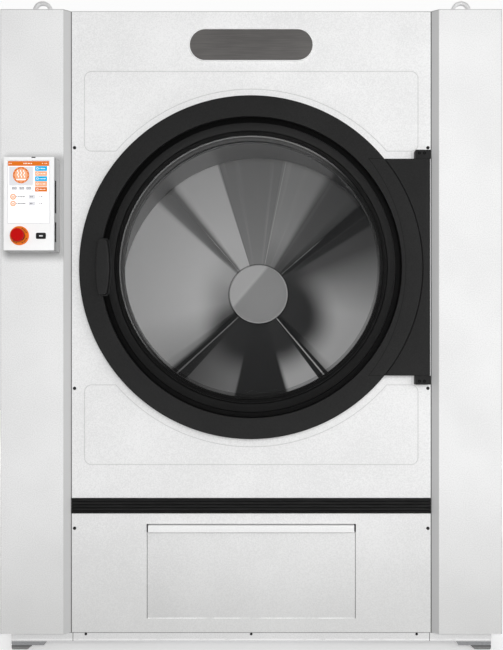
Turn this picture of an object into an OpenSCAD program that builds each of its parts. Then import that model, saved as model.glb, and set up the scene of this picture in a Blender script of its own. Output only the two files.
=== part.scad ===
// Industrial tumble dryer. Millimetres, front towards -Y, floor at Z = 0.

/* [Cabinet] */
// Room between the drum housing and the cabinet's sides
side_room = 79; // [60:0.5:120]
// Room between the drum housing and the roof
roof_room = 103; // [90:0.5:160]
// Room between the drum's shaft and the rear panel
rear_room = 109.5; // [95:0.5:160]
// Room between the lint drawer's front and the drum housing
drum_rise = 103.5; // [90:0.5:140]
// Height of the lower edge of the panels above the floor
skirt_z = 55; // [52:1:62]
// Thickness of the cabinet sheet
sheet_t = 2; // [1.5:0.1:3]
// Set-back of the centre panels behind the pillar faces
panel_recess = 15; // [12:1:18]
// Open seam between neighbouring panels
seam = 3; // [0.5:0.1:4]

/* [Pillars] */
// Width of the chamfer beside the pillar face
chamfer_w = 21; // [18:1:26]
// Depth of the fold round the pillar's outer side
pillar_return = 60; // [55:1:80]
// Width of the flange behind the centre panels
flange_w = 24; // [20:1:30]

/* [Frame] */
// Side of the square corner posts
post_w = 50; // [40:1:60]
// Wall of the frame's and the base's tubes
tube_wall = 4; // [3:0.5:6]
// Width of the flat front and rear roof rails
roof_rail_w = 120; // [110:1:130]
// Side of the square beams that carry the bearing housing
beam_w = 80; // [70:1:90]
// Height between the centres of the two bearing beams
beam_pitch = 360; // [340:1:400]
// Width of the base beams
base_beam_w = 60; // [50:1:70]
// Height of the underside of the base beams above the floor
base_z = 26.5; // [24:0.5:36]
// Height of the top of the base beams above the floor
base_top = 90; // [86:1:94]
// Distance of the base beams inside the cabinet's sides
base_inset = 27.5; // [25:0.5:33]

/* [Feet] */
// Length of a foot plate across the machine
foot_plate_l = 110; // [100:1:120]
// Thickness of a foot plate
foot_plate_t = 13.5; // [10:0.5:16]
// Length of a foot pad across the machine
foot_pad_l = 65; // [60:1:75]
// Depth of the feet along the machine
foot_d = 110; // [90:1:130]

/* [Lifting eyes] */
// Outer diameter of the ring
eye_od = 63; // [58:1:70]
// Inner diameter of the ring
eye_id = 35; // [30:1:40]
// Diameter of the shank
eye_shank_d = 16; // [12:1:20]
// Distance of the eyes from the cabinet's sides
eye_inset_x = 105.5; // [90:0.5:110]
// Distance of the eyes from the cabinet's front and rear
eye_inset_y = 88; // [80:1:100]

/* [Front panels] */
// Distance of the bumper strip above the lint drawer
strip_rise = 34; // [30:1:45]
// Height of the bumper strip
strip_h = 48.5; // [44:0.5:52]
// How far the strip's ribs stand out of the panels
strip_proud = 6; // [4:1:8]
// Distance of the pressed outlines from the panel's sides
outline_inset = 38; // [35:1:60]
// Height of each pressed outline
outline_h = 250; // [240:1:260]
// How far the outlines' middle lines cut into the door's circle
outline_bite = 41.5; // [35:0.5:55]
// Corner radius of the pressed outlines
outline_r = 23; // [20:1:30]
// Width of the pressed line
outline_w = 2.6; // [1.2:0.1:3]
// Depth of the pressed line
outline_deep = 1.2; // [0.5:0.1:1.4]
// Distance between the door ring and the outline round it
outline_gap = 26; // [22:1:30]
// Diameter of the panel screw heads
screw_head_d = 10.4; // [8:0.1:12]

/* [Badge] */
// Width of the bare badge plate with its rim
badge_w = 385; // [360:1:400]
// Height of the badge plate with its rim
badge_h = 100.5; // [90:0.5:105]
// Distance of the badge plate's centre below the roof
badge_drop = 105.5; // [100:0.5:125]
// Width of the rim
badge_rim_w = 4; // [3:0.5:6]
// Thickness of the rim
badge_t = 6; // [5:0.5:8]

/* [Drum] */
// Inner radius of the drum
drum_r = 650; // [600:1:700]
// Thickness of the drum's sheet
drum_t = 2.5; // [2:0.1:3]
// How far the drum's mouth lies inside the door's cone
mouth_lap = 12; // [6:1:20]
// Distance of the drum's mouth behind the door's front
mouth_depth = 124; // [118:1:130]
// Distance of the drum's rear wall behind the door's front
drum_depth = 1350; // [1250:1:1450]
// Number of pressed ribs and of lifters
rib_n = 4; // [3:1:6]
// Angle of the first rib
rib_angle = 41; // [30:1:60]
// Height of a rib at the drum's rim
rib_h = 34; // [28:1:40]
// Half the width of a rib at the drum's rim
rib_half_w = 58; // [50:1:66]
// Radius of the hub cap
hub_r = 139; // [130:1:145]
// Thickness of the hub cap
hub_t = 22; // [16:1:26]
// Height of the lifters
lifter_h = 60; // [50:1:64]
// Length of the lifters
lifter_l = 680; // [600:10:700]
// Radial gap between the drum and its housing
housing_gap = 38; // [34:1:40]

/* [Drive] */
// Radius of the drum's shaft
shaft_r = 45; // [40:1:50]
// Outer radius of the bearings
bearing_r = 70; // [66:1:76]
// Width of a bearing
bearing_w = 40; // [36:1:44]
// Radial running clearance of shafts and pins
run_gap = 0.05; // [0.03:0.01:0.09]
// Length of the bearing housing
bearing_len = 220; // [190:1:240]
// Wall of the bearing housing
bearing_wall = 25; // [20:1:30]
// Radius of the drum pulley
pulley_r = 320; // [300:1:330]
// Radius of the motor pulley
motor_pulley_r = 60; // [55:1:70]
// Width of the pulleys
pulley_w = 64; // [60:1:68]
// Thickness of the belt
belt_t = 8; // [6:1:10]
// Radius of the drum motor
motor_r = 115; // [105:1:120]
// Length of the drum motor
motor_l = 200; // [180:1:210]
// Distance of the motor's shaft from the cabinet's right side
motor_inset = 343.5; // [320:0.5:360]
// Motor's distance below the drum axis
motor_drop = 546; // [536:1:556]
// Radius of the motor's shaft
motor_shaft_r = 18; // [14:1:22]

/* [Door] */
// Outer radius of the door ring
door_r = 528; // [520:1:532]
// Width of the flat ring
ring_w = 65; // [58:1:72]
// How far the door's front stands out of the pillar faces
door_proud = 15; // [12:1:18]
// Thickness of the door
door_t = 27; // [24:1:28]
// Wall of the pressed door ring
door_wall = 3; // [2:0.5:4]
// Width of the groove inside the flat ring
groove_w = 19; // [14:1:24]
// Width of the inner ring's cone
cone_w = 23; // [18:1:28]
// Width of the step between the cone and the rubber
glass_step_w = 5.4; // [4:0.1:7]
// Thickness of the door glass
glass_t = 12; // [10:1:13]
// Width of the glass bevel
bevel_w = 18; // [10:1:20]
// Width of the rubber round the glass
glass_seal_w = 8; // [6.5:0.5:9]
// How far the hinge side stands out of the round door
hinge_reach = 24; // [20:1:30]
// Gap between the hinge side and the pillar
pillar_gap = 8; // [5:1:10]
// Height of the hinge plate
hinge_plate_h = 666; // [650:1:680]
// Height of each hinge bracket
bracket_h = 27.5; // [26:0.5:34]
// Width of each hinge bracket
bracket_w = 47; // [42:1:50]
// Radius of the hinge pins
pin_r = 6; // [5:0.5:7]
// Length of the handle
handle_h = 171; // [160:1:180]
// Largest width of the handle
handle_w = 42; // [36:1:46]
// How far the handle stands out of the door
handle_proud = 24; // [18:1:28]

/* [Lint drawer] */
// Width of the drawer front
drawer_w = 645; // [620:1:660]
// Height of the drawer front
drawer_h = 290.5; // [280:0.5:296]
// Height of the drawer front's lower edge above the floor
drawer_z = 99.5; // [98:0.5:110]
// Height of the folded pull lip
lip_h = 23; // [18:1:28]
// Distance of the pull lip's ends inside the drawer front's sides
lip_inset = 4; // [2:0.5:6]
// How far the pull lip stands out
lip_proud = 14; // [10:1:18]
// Depth of the drawer tray
tray_d = 620; // [600:1:650]
// Gap round the drawer front
drawer_gap = 1.5; // [1:0.1:2.5]

/* [Control box] */
// Width of the control box
box_w = 152; // [145:1:160]
// Height of the control box
box_h = 281; // [275:1:290]
// Depth of the control box
box_d = 65; // [60:1:75]
// Distance of the box from the pillar's middle, towards the door
box_shift = 11; // [0:1:14]
// Height of the box's lower edge above the door's centre
box_rise = 45.5; // [30:0.5:60]
// Width of the touch screen
screen_w = 126.5; // [118:0.5:130]
// Height of the touch screen
screen_h = 189; // [180:1:192]
// Radius of the emergency stop's base disc
stop_base_r = 28.7; // [26:0.1:30]
// Radius of the emergency stop's head
stop_head_r = 20; // [18:0.5:22]
// Gap that lets the emergency stop travel
stop_gap = 6; // [5.5:0.5:8]

/* [Air path] */
// Width of the heater box
heater_w = 900; // [860:1:920]
// Depth of the heater box
heater_d = 770; // [740:1:800]
// Height of the heater box above the roof
heater_h = 260; // [240:1:280]
// Distance of the heater box from the rear panel
heater_back = 180; // [160:1:200]
// Width of the duct from the heater to the drum
inlet_w = 600; // [560:1:640]
// Depth of the duct from the heater to the drum
inlet_d = 300; // [260:1:320]
// Radius of the exhaust collar
exhaust_r = 75; // [70:1:78]
// How far the exhaust collar stands out behind
exhaust_proud = 85; // [75:1:90]
// Distance of the fan's shaft from the cabinet's left side
fan_inset = 443.5; // [430:0.5:450]
// Height of the fan above the floor
fan_z = 330; // [325:1:340]
// Radius of the fan scroll
scroll_r = 200; // [190:1:205]
// Width of the fan scroll
scroll_w = 180; // [170:1:185]
// Radius of the fan wheel
wheel_r = 165; // [155:1:170]
// Number of fan blades
blade_n = 12; // [8:1:16]
// Radius of the fan motor
fan_motor_r = 80; // [70:1:90]

/* [Hidden] */
$fn = 96;
white = [0.95, 0.95, 0.95];
dark = [0.17, 0.17, 0.17];
steel = [0.62, 0.62, 0.63];
zinc = [0.72, 0.73, 0.75];
rubber = [0.08, 0.08, 0.08];

// Gap of a loose fit, and how far a cut runs past the piece it cuts
fit = 0.3;
past = 5;

// Radii of the drum's housing, and distances behind the pillar faces
drum_out_r = drum_r + drum_t;
housing_r = drum_out_r + housing_gap;
housing_out = housing_r + sheet_t;
housing_end = drum_depth - door_proud + drum_t + 30;
pulley_start = housing_end + sheet_t + bearing_len + 25;
shaft_reach = pulley_start + pulley_w + 10;

// Distances of the panel screws and the base screws from the panel's side
screw_inset = 8.5;
base_screw_inset = 43;

// Places of the bracket screws, from the bracket's left side and from the hinge plate's end
bracket_screws = [11.6, 27.2];
bracket_screw_rise = 17.5;

// Distance of the feet from the beams' ends
foot_back = 2;

// Radius of the handle's bowed inner side
handle_bow_r = 402;

// Cabinet planes
half_w = housing_out + side_room + sheet_t;
inner_half = half_w - sheet_t;
body_d = shaft_reach + rear_room + sheet_t;
front_y = -body_d / 2;
back_y = body_d / 2;
axis_z = drawer_z + drawer_h + drum_rise + housing_out;
body_top = axis_z + housing_out + roof_room + sheet_t;
hinge_plate_end = door_r + hinge_reach;
panel_edge = hinge_plate_end + pillar_gap;
pillar_in = panel_edge + chamfer_w;
panel_half = panel_edge - seam;
panel_y = front_y + panel_recess;
panel_back = panel_y + sheet_t;
flange_back = panel_back + sheet_t;
roof_under = body_top - sheet_t;
base_half = half_w - base_inset;
screw_x = panel_half - screw_inset;
screw_r = 3;
screw_spread = hinge_plate_h / 2 + bracket_h + 13;
base_screw_z = skirt_z - 6;
strip_z = drawer_z + drawer_h + strip_rise;
badge_z = body_top - badge_drop;
outline_half = panel_half - outline_inset;
outline_rise = door_r - outline_bite;

// Door planes
door_front = front_y - door_proud;
door_back = door_front + door_t;
door_flat_r = door_r - ring_w;
cone_out_r = door_flat_r - groove_w;
cone_in_r = cone_out_r - cone_w;
seat_r = cone_in_r - glass_step_w;
glass_r = seat_r - glass_seal_w;
pin_x = hinge_plate_end - door_t / 2;
pin_y = door_front + door_t / 2;
hinge_half_h = hinge_plate_h / 2;
clamp_y = door_back - 5;

// Drum planes
mouth_r = cone_in_r - mouth_lap;
mouth_y = door_front + mouth_depth;
rear_wall_y = door_front + drum_depth;
drum_end = rear_wall_y + drum_t;
housing_y0 = mouth_y - 9;
housing_y1 = front_y + housing_end;
throat_r = mouth_r + 9;
throat_t = 3;
opening_r = throat_r + 27;
throat_flange_r = opening_r + 25;
shaft_flange_t = 15;

// Drive planes
beam_y0 = housing_y1 + sheet_t;
beam_y1 = beam_y0 + beam_w;
bearing_end = beam_y0 + bearing_len;
pulley_y0 = front_y + pulley_start;
pulley_y1 = pulley_y0 + pulley_w;
shaft_end = front_y + shaft_reach;
motor_x = half_w - motor_inset;
motor_z = axis_z - motor_drop;
motor_y1 = pulley_y0 - 14;
motor_y0 = motor_y1 - motor_l;
stand_z = motor_z - motor_r - 15;

// Rear panel cut-outs
cover_half = 430;
cover_z0 = motor_z + 80;
cover_z1 = axis_z + pulley_r + 60;
louvre_half = 90;
louvre_x = cover_half - louvre_half - 80;
louvre_h = 10;
louvre_pitch = 34;
gland_x = half_w - 173.5;
gland_z = skirt_z + 245;
gland_r = 16;

// Air path planes
fan_cx = -half_w + fan_inset;
scroll_y0 = beam_y1 + 45;
scroll_y1 = scroll_y0 + scroll_w;
exhaust_x = fan_cx - scroll_r + exhaust_r + 8;
exhaust_z = fan_z + scroll_r + exhaust_r - 15;
exhaust_end = back_y + exhaust_proud;
heater_y1 = back_y - heater_back;
heater_y0 = heater_y1 - heater_d;
heater_top = body_top + heater_h;
inlet_y0 = heater_y0 + 100;
inlet_y1 = inlet_y0 + inlet_d;
duct_half = scroll_r - 50;
lint_half = drawer_w / 2 + 20;
lint_y1 = beam_y0 - 170;
lint_z = drawer_z - 5;
lint_top = axis_z - sqrt(pow(housing_out, 2) - pow(lint_half, 2)) + 8;
tray_half = drawer_w / 2 - 8;
tray_top = drawer_z + drawer_h - lip_h / 2;
tray_y1 = panel_back + tray_d;
tray_z = drawer_z + 20;
rail_z = drawer_z + drawer_h - 90;
cross_y = [beam_y0 + 45, scroll_y0 + 65];
pipe_r = 17;
pipe_out = 60;
coil_y = heater_y1 - 150;
pipe_inset = 55;
fan_eye_r = 0.65 * wheel_r;
fan_shaft_r = 12;

// Control box planes
box_x0 = -(half_w + pillar_in) / 2 + box_shift - box_w / 2;
box_x1 = box_x0 + box_w;
box_front = front_y - box_d;
box_z = axis_z + box_rise;
face_t = 3;
screen_margin = 11;
screen_x = (box_x0 + box_x1) / 2 - 1;
screen_z = box_z + box_h - screen_margin - screen_h / 2;
stop_x = box_x0 + 48.3;
stop_z = box_z + 44;
neck_front = box_front - 7;
port_x = box_x0 + 112.7;
port_z = box_z + 43.5;
port_half = 12;
port_half_h = 6;
vent_spans = [[27, 87], [114, 213]];
vent_depths = [9, 25];
board_inset = 20;
chip_rows = [70, 130, 190];
chip_w = 40;
chip_h = 26;

// A box between two corners
module slab(x0, x1, y0, y1, z0, z1)
  translate([x0, y0, z0]) cube([x1 - x0, y1 - y0, z1 - z0]);

// A square tube with closed ends between two corners
module tube(x0, x1, y0, y1, z0, z1) difference() {
  slab(x0, x1, y0, y1, z0, z1);
  slab(x0 + tube_wall, x1 - tube_wall, y0 + tube_wall, y1 - tube_wall, z0 + tube_wall,
       z1 - tube_wall);
}

// A round bar along Y, on the drum's axis unless told otherwise
module bar_y(r, y0, y1, x = 0, z = axis_z)
  translate([x, y0, z]) rotate([-90, 0, 0]) cylinder(r = r, h = y1 - y0);

// A round bar along Z
module bar_z(r, z0, z1, x, y)
  translate([x, y, z0]) cylinder(r = r, h = z1 - z0);

// A flat ring along Y
module ring_y(ro, ri, y0, y1, x = 0, z = axis_z)
  difference() {
    bar_y(ro, y0, y1, x, z);
    bar_y(ri, y0 - past, y1 + past, x, z);
  }

// A turned piece along Y, from points [radius, y]
module turned_y(points, x = 0, z = axis_z)
  translate([x, 0, z]) rotate([-90, 0, 0]) rotate_extrude() polygon(points);

// A plate between two depths, from an outline in X and Z
module plate_y(y0, y1)
  translate([0, y1, 0]) rotate([90, 0, 0]) linear_extrude(y1 - y0) children();

// The same thing on both sides
module both_sides() {
  children();
  mirror([1, 0, 0]) children();
}

// A rectangle with round corners
module round_rect(x0, x1, z0, z1, r) {
  translate([x0 + r, z0]) square([x1 - x0 - 2 * r, z1 - z0]);
  translate([x0, z0 + r]) square([x1 - x0, z1 - z0 - 2 * r]);
  for (x = [x0 + r, x1 - r], z = [z0 + r, z1 - r]) translate([x, z]) circle(r);
}

// Base and frame

module base_beams() color(zinc) {
  cross_half = base_half - base_beam_w;
  lip_d = 15;
  beam_f = panel_back + base_beam_w;
  beam_r = back_y - sheet_t - base_beam_w;
  difference() {
    slab(-base_half, base_half, panel_back, panel_back + lip_d, base_z, skirt_z);
    for (x = base_screw_x())
      bar_y(screw_r + fit, panel_back - past, panel_back + lip_d - 3, x, base_screw_z);
  }
  tube(-base_half, base_half, panel_back + lip_d, beam_f, base_z, base_top);
  tube(-base_half, base_half, beam_r, back_y - sheet_t, base_z, base_top);
  both_sides() tube(cross_half, base_half, beam_f, beam_r, base_z, base_top);
  for (y = cross_y) tube(-cross_half, cross_half, y, y + base_beam_w, base_z, base_top);
}

module foot_outline(length, slope, thick, z0)
  polygon([[base_half, z0 + 4], [base_half, z0 + thick], [base_half - length, z0 + thick],
           [base_half - length + slope, z0], [base_half - 4, z0]]);

module foot_pair(length, slope, thick, z0)
  both_sides() for (y = [panel_back + foot_back, back_y - sheet_t - foot_back - foot_d])
    plate_y(y, y + foot_d) foot_outline(length, slope, thick, z0);

module foot_plates() color(steel)
  foot_pair(foot_plate_l, 9, foot_plate_t, base_z - foot_plate_t);

module foot_pads() color(dark)
  foot_pair(foot_pad_l, 15, base_z - foot_plate_t, 0);

// Posts, roof rails and the beams that carry the bearing housing, butted and welded
module cabinet_frame() color(zinc) {
  rail_half = inner_half - post_w;
  rail_y = back_y - sheet_t - post_w;
  rail_z = roof_under - post_w;
  both_sides() {
    tube(rail_half, inner_half, front_y + sheet_t, front_y + sheet_t + post_w, base_top,
         roof_under);
    tube(rail_half, inner_half, rail_y, back_y - sheet_t, base_top, roof_under);
    tube(rail_half, inner_half, front_y + sheet_t + post_w, rail_y, rail_z, roof_under);
    tube(rail_half, inner_half, beam_y0, beam_y1, base_top, rail_z);
  }
  difference() {
    union() {
      tube(-rail_half, rail_half, flange_back, flange_back + roof_rail_w, rail_z, roof_under);
      tube(-rail_half, rail_half, back_y - sheet_t - roof_rail_w, back_y - sheet_t, rail_z,
           roof_under);
    }
    eye_places() cylinder_between(eye_shank_d / 2 + fit, rail_z - past, roof_under + past);
  }
  for (z = [axis_z - beam_pitch / 2, axis_z + beam_pitch / 2])
    tube(-rail_half, rail_half, beam_y0, beam_y1, z - beam_w / 2, z + beam_w / 2);
}

// Outer panels

module pillar_sheet() polygon([
  [half_w, front_y + pillar_return], [half_w, front_y], [pillar_in, front_y],
  [panel_edge, panel_y], [panel_edge, panel_back], [panel_edge - flange_w, panel_back],
  [panel_edge - flange_w, flange_back], [panel_edge + 1.2 * sheet_t, flange_back],
  [pillar_in + sheet_t, front_y + sheet_t], [inner_half, front_y + sheet_t],
  [inner_half, front_y + pillar_return]]);

module pillar_cap() polygon([
  [half_w, panel_back], [half_w, front_y], [pillar_in, front_y], [panel_edge, panel_y],
  [panel_edge, panel_back]]);

module pillar_cover() color(white) difference() {
  union() {
    translate([0, 0, skirt_z]) linear_extrude(body_top - skirt_z) pillar_sheet();
    translate([0, 0, roof_under]) linear_extrude(sheet_t) pillar_cap();
  }
  slab(0, inner_half, panel_back, front_y + pillar_return + past, roof_under, body_top + past);
  for (z = panel_screw_heights())
    bar_y(screw_r + fit, panel_y - past, flange_back + past, screw_x, z);
}

module pillar_covers() both_sides() pillar_cover();

module side_panels() color(white) both_sides()
  slab(inner_half, half_w, front_y + pillar_return + seam, back_y, skirt_z, body_top);

module roof_panel() color(white) difference() {
  slab(-inner_half, inner_half, panel_back, back_y, roof_under, body_top);
  slab(-inlet_w / 2, inlet_w / 2, inlet_y0, inlet_y1, roof_under - past, body_top + past);
  eye_places() cylinder_between(eye_shank_d / 2 + fit, roof_under - past, body_top + past);
}

module rear_panel() color(white) difference() {
  slab(-inner_half, inner_half, back_y - sheet_t, back_y, skirt_z, roof_under);
  slab(-cover_half + 30, cover_half - 30, back_y - past, back_y + past, cover_z0 + 30,
       cover_z1 - 30);
  bar_y(exhaust_r + fit, back_y - past, back_y + past, exhaust_x, exhaust_z);
  bar_y(gland_r + fit, back_y - past, back_y + past, gland_x, gland_z);
}

module drive_cover() color(white) difference() {
  slab(-cover_half, cover_half, back_y, back_y + sheet_t, cover_z0, cover_z1);
  for (x = [-louvre_x, louvre_x], row = [0 : 9]) {
    z = cover_z0 + 80 + louvre_pitch * row;
    slab(x - louvre_half, x + louvre_half, back_y - past, back_y + past, z, z + louvre_h);
  }
}

// The pressed outline above or below the door, drawn inwards by a distance
module pressed_outline(side, inwards) difference() {
  round_rect(-outline_half + inwards, outline_half - inwards,
             axis_z + side * outline_rise - outline_h / 2 + inwards,
             axis_z + side * outline_rise + outline_h / 2 - inwards, outline_r - inwards);
  translate([0, axis_z]) circle(door_r + outline_gap + inwards);
}

module pressed_line(side) plate_y(panel_y - past, panel_y + outline_deep) {
  difference() {
    pressed_outline(side, 0);
    pressed_outline(side, outline_w);
  }
  bracket_line(side);
}

// The short line beside a hinge bracket, from behind the hinge plate to the outline
module bracket_line(side) {
  start = hinge_half_h - past;
  end = outline_rise - outline_h / 2 + outline_w;
  translate([hinge_plate_end - bracket_w - past - outline_w, axis_z + min(side * start, side * end)])
    square([outline_w, end - start]);
}

module upper_front_panel() color(white) difference() {
  slab(-panel_half, panel_half, panel_y, panel_back, strip_z + strip_h, body_top);
  bar_y(opening_r, panel_y - past, panel_back + past);
  pressed_line(1);
  pressed_line(-1);
  both_sides() for (z = panel_screw_heights())
    bar_y(screw_r + fit, panel_y - past, panel_back + past, screw_x, z);
}

module lower_front_panel() color(white) difference() {
  slab(-panel_half, panel_half, panel_y, panel_back, skirt_z, strip_z);
  drawer_mouth(panel_y - past, panel_back + past);
  both_sides() for (z = panel_screw_heights())
    bar_y(screw_r + fit, panel_y - past, panel_back + past, screw_x, z);
}

// The opening of the lint drawer, a little wider beside the pull lip
module drawer_mouth(y0, y1) {
  half = drawer_w / 2 + drawer_gap;
  top = drawer_z + drawer_h + drawer_gap;
  slab(-half, half, y0, y1, drawer_z - drawer_gap, top);
  slab(-half - 1, half + 1, y0, y1, top - lip_h - drawer_gap, top);
}

module bumper_strip() color(rubber) {
  ribs = 5;
  rib_pitch = strip_h / ribs;
  slab(-panel_half, panel_half, panel_y - strip_proud / 2, panel_back, strip_z,
       strip_z + strip_h);
  for (i = [0 : ribs - 1])
    slab(-panel_half, panel_half, panel_y - strip_proud, panel_y - strip_proud / 2 + 0.5,
         strip_z + rib_pitch * (i + 0.18), strip_z + rib_pitch * (i + 0.82));
}

module badge_outline(inwards) {
  r = badge_h / 2 - inwards;
  straight = badge_w - badge_h;
  translate([-straight / 2, badge_z - r]) square([straight, 2 * r]);
  for (x = [-straight / 2, straight / 2]) translate([x, badge_z]) circle(r);
}

// A bare plate with a raised rim
module badge_plate() color([0.37, 0.36, 0.36]) plate_and_rim(panel_y - badge_t, 2);

module plate_and_rim(front, sunk) {
  plate_y(front, panel_y) difference() {
    badge_outline(0);
    badge_outline(badge_rim_w);
  }
  plate_y(front + sunk, panel_y) badge_outline(badge_rim_w / 2);
}

module eye_places()
  for (x = [-half_w + eye_inset_x, half_w - eye_inset_x],
       y = [front_y + eye_inset_y, back_y - eye_inset_y])
    translate([x, y, 0]) children();

module lifting_eyes() color(zinc) {
  wire_r = (eye_od - eye_id) / 4;
  ring_r = (eye_od + eye_id) / 4;
  ring_z = body_top + eye_od / 2 - 1;
  eye_places() {
    difference() {
      union() {
        translate([0, 0, ring_z]) rotate([90, 0, 0]) rotate_extrude()
          translate([ring_r, 0]) circle(wire_r);
        cylinder_between(eye_shank_d / 2 + 9, body_top, body_top + 7);
        cylinder_between(eye_shank_d / 2 + 2, body_top, ring_z - eye_id / 2 - 2);
      }
      translate([0, 0, ring_z]) rotate([90, 0, 0])
        cylinder(r = eye_id / 2, h = 3 * wire_r, center = true);
    }
    cylinder_between(eye_shank_d / 2, roof_under - post_w, body_top);
  }
}

module cylinder_between(r, z0, z1) translate([0, 0, z0]) cylinder(r = r, h = z1 - z0);

function panel_screw_heights() = [strip_z - 46, axis_z - screw_spread, axis_z + screw_spread];

module screw_y(x, z, seat, head_r, shank_r, shank_l) turned_y([
  [0, seat - 3], [head_r * 0.6, seat - 3], [head_r, seat - 1], [head_r, seat],
  [shank_r, seat], [shank_r, seat + shank_l], [0, seat + shank_l]], x, z);

module panel_screws() color(rubber) {
  for (x = [-screw_x, screw_x], z = panel_screw_heights())
    screw_y(x, z, panel_y, screw_head_d / 2, screw_r, 9);
  for (x = base_screw_x()) screw_y(x, base_screw_z, panel_back, screw_r + 0.6, screw_r, 10);
  for (side = [-1, 1], x = bracket_screw_x())
    bar_y(screw_r + fit, door_front - 1, door_front + 3, x,
          axis_z + side * (hinge_half_h + bracket_screw_rise));
}

function base_screw_x() = [for (side = [-1 : 1]) side * (panel_half - base_screw_inset)];

// Mouth of the drum and the door's seal

module throat_ring() color(steel) turned_y([
  [throat_r, panel_back], [throat_flange_r, panel_back], [throat_flange_r, panel_back + throat_t],
  [throat_r + throat_t, panel_back + throat_t], [throat_r + throat_t, housing_y0 + 2],
  [throat_r, housing_y0 + 2]]);

module door_seal() color(rubber) turned_y([
  [throat_r + 6, panel_back], [opening_r - 1, panel_back], [opening_r - 1, panel_y],
  [opening_r - 8, door_back + fit], [throat_r + 12, door_back + fit],
  [throat_r + 6, panel_y]]);

// Hinge

module hinge_brackets() color(dark)
  for (side = [-1, 1]) difference() {
    z = axis_z + side * (hinge_half_h + bracket_h / 2);
    slab(hinge_plate_end - bracket_w, hinge_plate_end, door_front, panel_y,
         z - bracket_h / 2, z + bracket_h / 2);
    bar_z(pin_r + run_gap, z - bracket_h, z + bracket_h, pin_x, pin_y);
    for (x = bracket_screw_x())
      bar_y(screw_r + 2 * fit, door_front - past, door_front + 3, x,
            axis_z + side * (hinge_half_h + bracket_screw_rise));
  }

function bracket_screw_x() = [for (inset = bracket_screws) hinge_plate_end - bracket_w + inset];

module hinge_pins() color(steel) {
  inside = 40;
  for (side = [-1, 1]) {
    tip = axis_z + side * (hinge_half_h - inside);
    end = axis_z + side * (hinge_half_h + bracket_h - 4);
    bar_z(pin_r, min(tip, end), max(tip, end), pin_x, pin_y);
  }
}

// Door

module door_ring() color(dark) {
  r0 = door_flat_r;
  r1 = door_r;
  turned_y([
    [r0, door_front], [r1 - 3, door_front], [r1, door_front + 3], [r1, door_back],
    [r1 - door_wall, door_back], [r1 - door_wall, door_front + door_wall + 1],
    [r0 + door_wall, door_front + door_wall], [r0 + door_wall, door_back],
    [r0, door_back]]);
  slab(-r1 + 23, -r1 + 43, door_front + door_wall - 0.5, door_back, axis_z - 16, axis_z + 16);
}

// The grip follows the flat ring on its outer side and bows on its inner side
module door_handle() color(dark) {
  inner_x = -door_flat_r - 9 + handle_w;
  plate_y(door_front - handle_proud, door_front) intersection() {
    translate([0, axis_z]) circle(door_flat_r + 9);
    translate([inner_x - handle_bow_r, axis_z]) circle(handle_bow_r);
    translate([-door_r, axis_z - handle_h / 2]) square([door_r, handle_h]);
  }
}

module hinge_plate() color(dark) difference() {
  z0 = axis_z - hinge_half_h + fit;
  z1 = axis_z + hinge_half_h - fit;
  union() {
    slab(door_flat_r - 90, pin_x, door_front, door_back, z0, z1);
    bar_z(door_t / 2, z0, z1, pin_x, pin_y);
  }
  bar_y(door_r + fit, door_front - past, door_back + past);
  for (z = [z0 - past, z1 - 45]) bar_z(pin_r + run_gap, z, z + 45 + past, pin_x, pin_y);
}

module door_inner_ring() color(dark) {
  groove_y = door_front + 12;
  turned_y([
    [door_flat_r - fit, door_back], [door_flat_r - fit, groove_y], [cone_out_r, groove_y],
    [cone_out_r, door_front + 2], [cone_in_r, groove_y - 2], [cone_in_r - 3, groove_y],
    [seat_r, groove_y], [seat_r, clamp_y], [glass_r - 8, clamp_y], [glass_r - 8, door_back]]);
}

module door_glass() color([0.5, 0.55, 0.6, 0.35]) {
  glass_y = clamp_y - fit - glass_t;
  turned_y([
    [0, glass_y], [glass_r - bevel_w, glass_y], [glass_r, glass_y + 5],
    [glass_r, glass_y + glass_t], [0, glass_y + glass_t]]);
}

module glass_seal() color(rubber) turned_y([
  [glass_r + run_gap, door_front + 8], [seat_r - run_gap, door_front + 7],
  [seat_r - run_gap, clamp_y], [glass_r + run_gap, clamp_y]]);

// Drum

module drum_shell() color(steel) {
  ring_y(drum_out_r, drum_r, mouth_y, rear_wall_y);
  turned_y([
    [mouth_r, mouth_y - drum_t - 5], [mouth_r + 3, mouth_y - drum_t - 5],
    [mouth_r + 3, mouth_y - drum_t], [drum_out_r, mouth_y - drum_t], [drum_out_r, mouth_y + 1],
    [mouth_r, mouth_y + 1]]);
}

module lifters() color(steel)
  for (i = [0 : rib_n - 1])
    translate([0, 0, axis_z]) rotate([0, -rib_angle - i * 360 / rib_n, 0]) lifter();

// One folded lifter on the drum's inner wall, pointing to the axis
module lifter() intersection() {
  difference() {
    lifter_block(0, lifter_l);
    lifter_block(drum_t, lifter_l - 2 * drum_t);
  }
  translate([0, mouth_y, 0]) rotate([-90, 0, 0]) cylinder(r = drum_r - run_gap, h = drum_depth);
}

module lifter_block(wall, length) {
  top = drum_r - lifter_h + wall;
  foot = drum_r + past;
  shoulder = top + 14;
  translate([0, mouth_y + 20 + lifter_l - wall, 0]) rotate([90, 0, 0]) linear_extrude(length)
    polygon([[foot, wall - rib_half_w], [shoulder, wall - 20], [top, wall / 2 - 12],
             [top, 12 - wall / 2], [shoulder, 20 - wall], [foot, rib_half_w - wall]]);
}

module drum_back() color(steel) {
  bar_y(drum_out_r, rear_wall_y, drum_end);
  intersection() {
    for (i = [0 : rib_n - 1])
      translate([0, rear_wall_y, axis_z]) rotate([0, -rib_angle - i * 360 / rib_n, 0]) back_rib();
    bar_y(drum_r - fit, rear_wall_y - rib_h - past, rear_wall_y + 1);
  }
}

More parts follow.
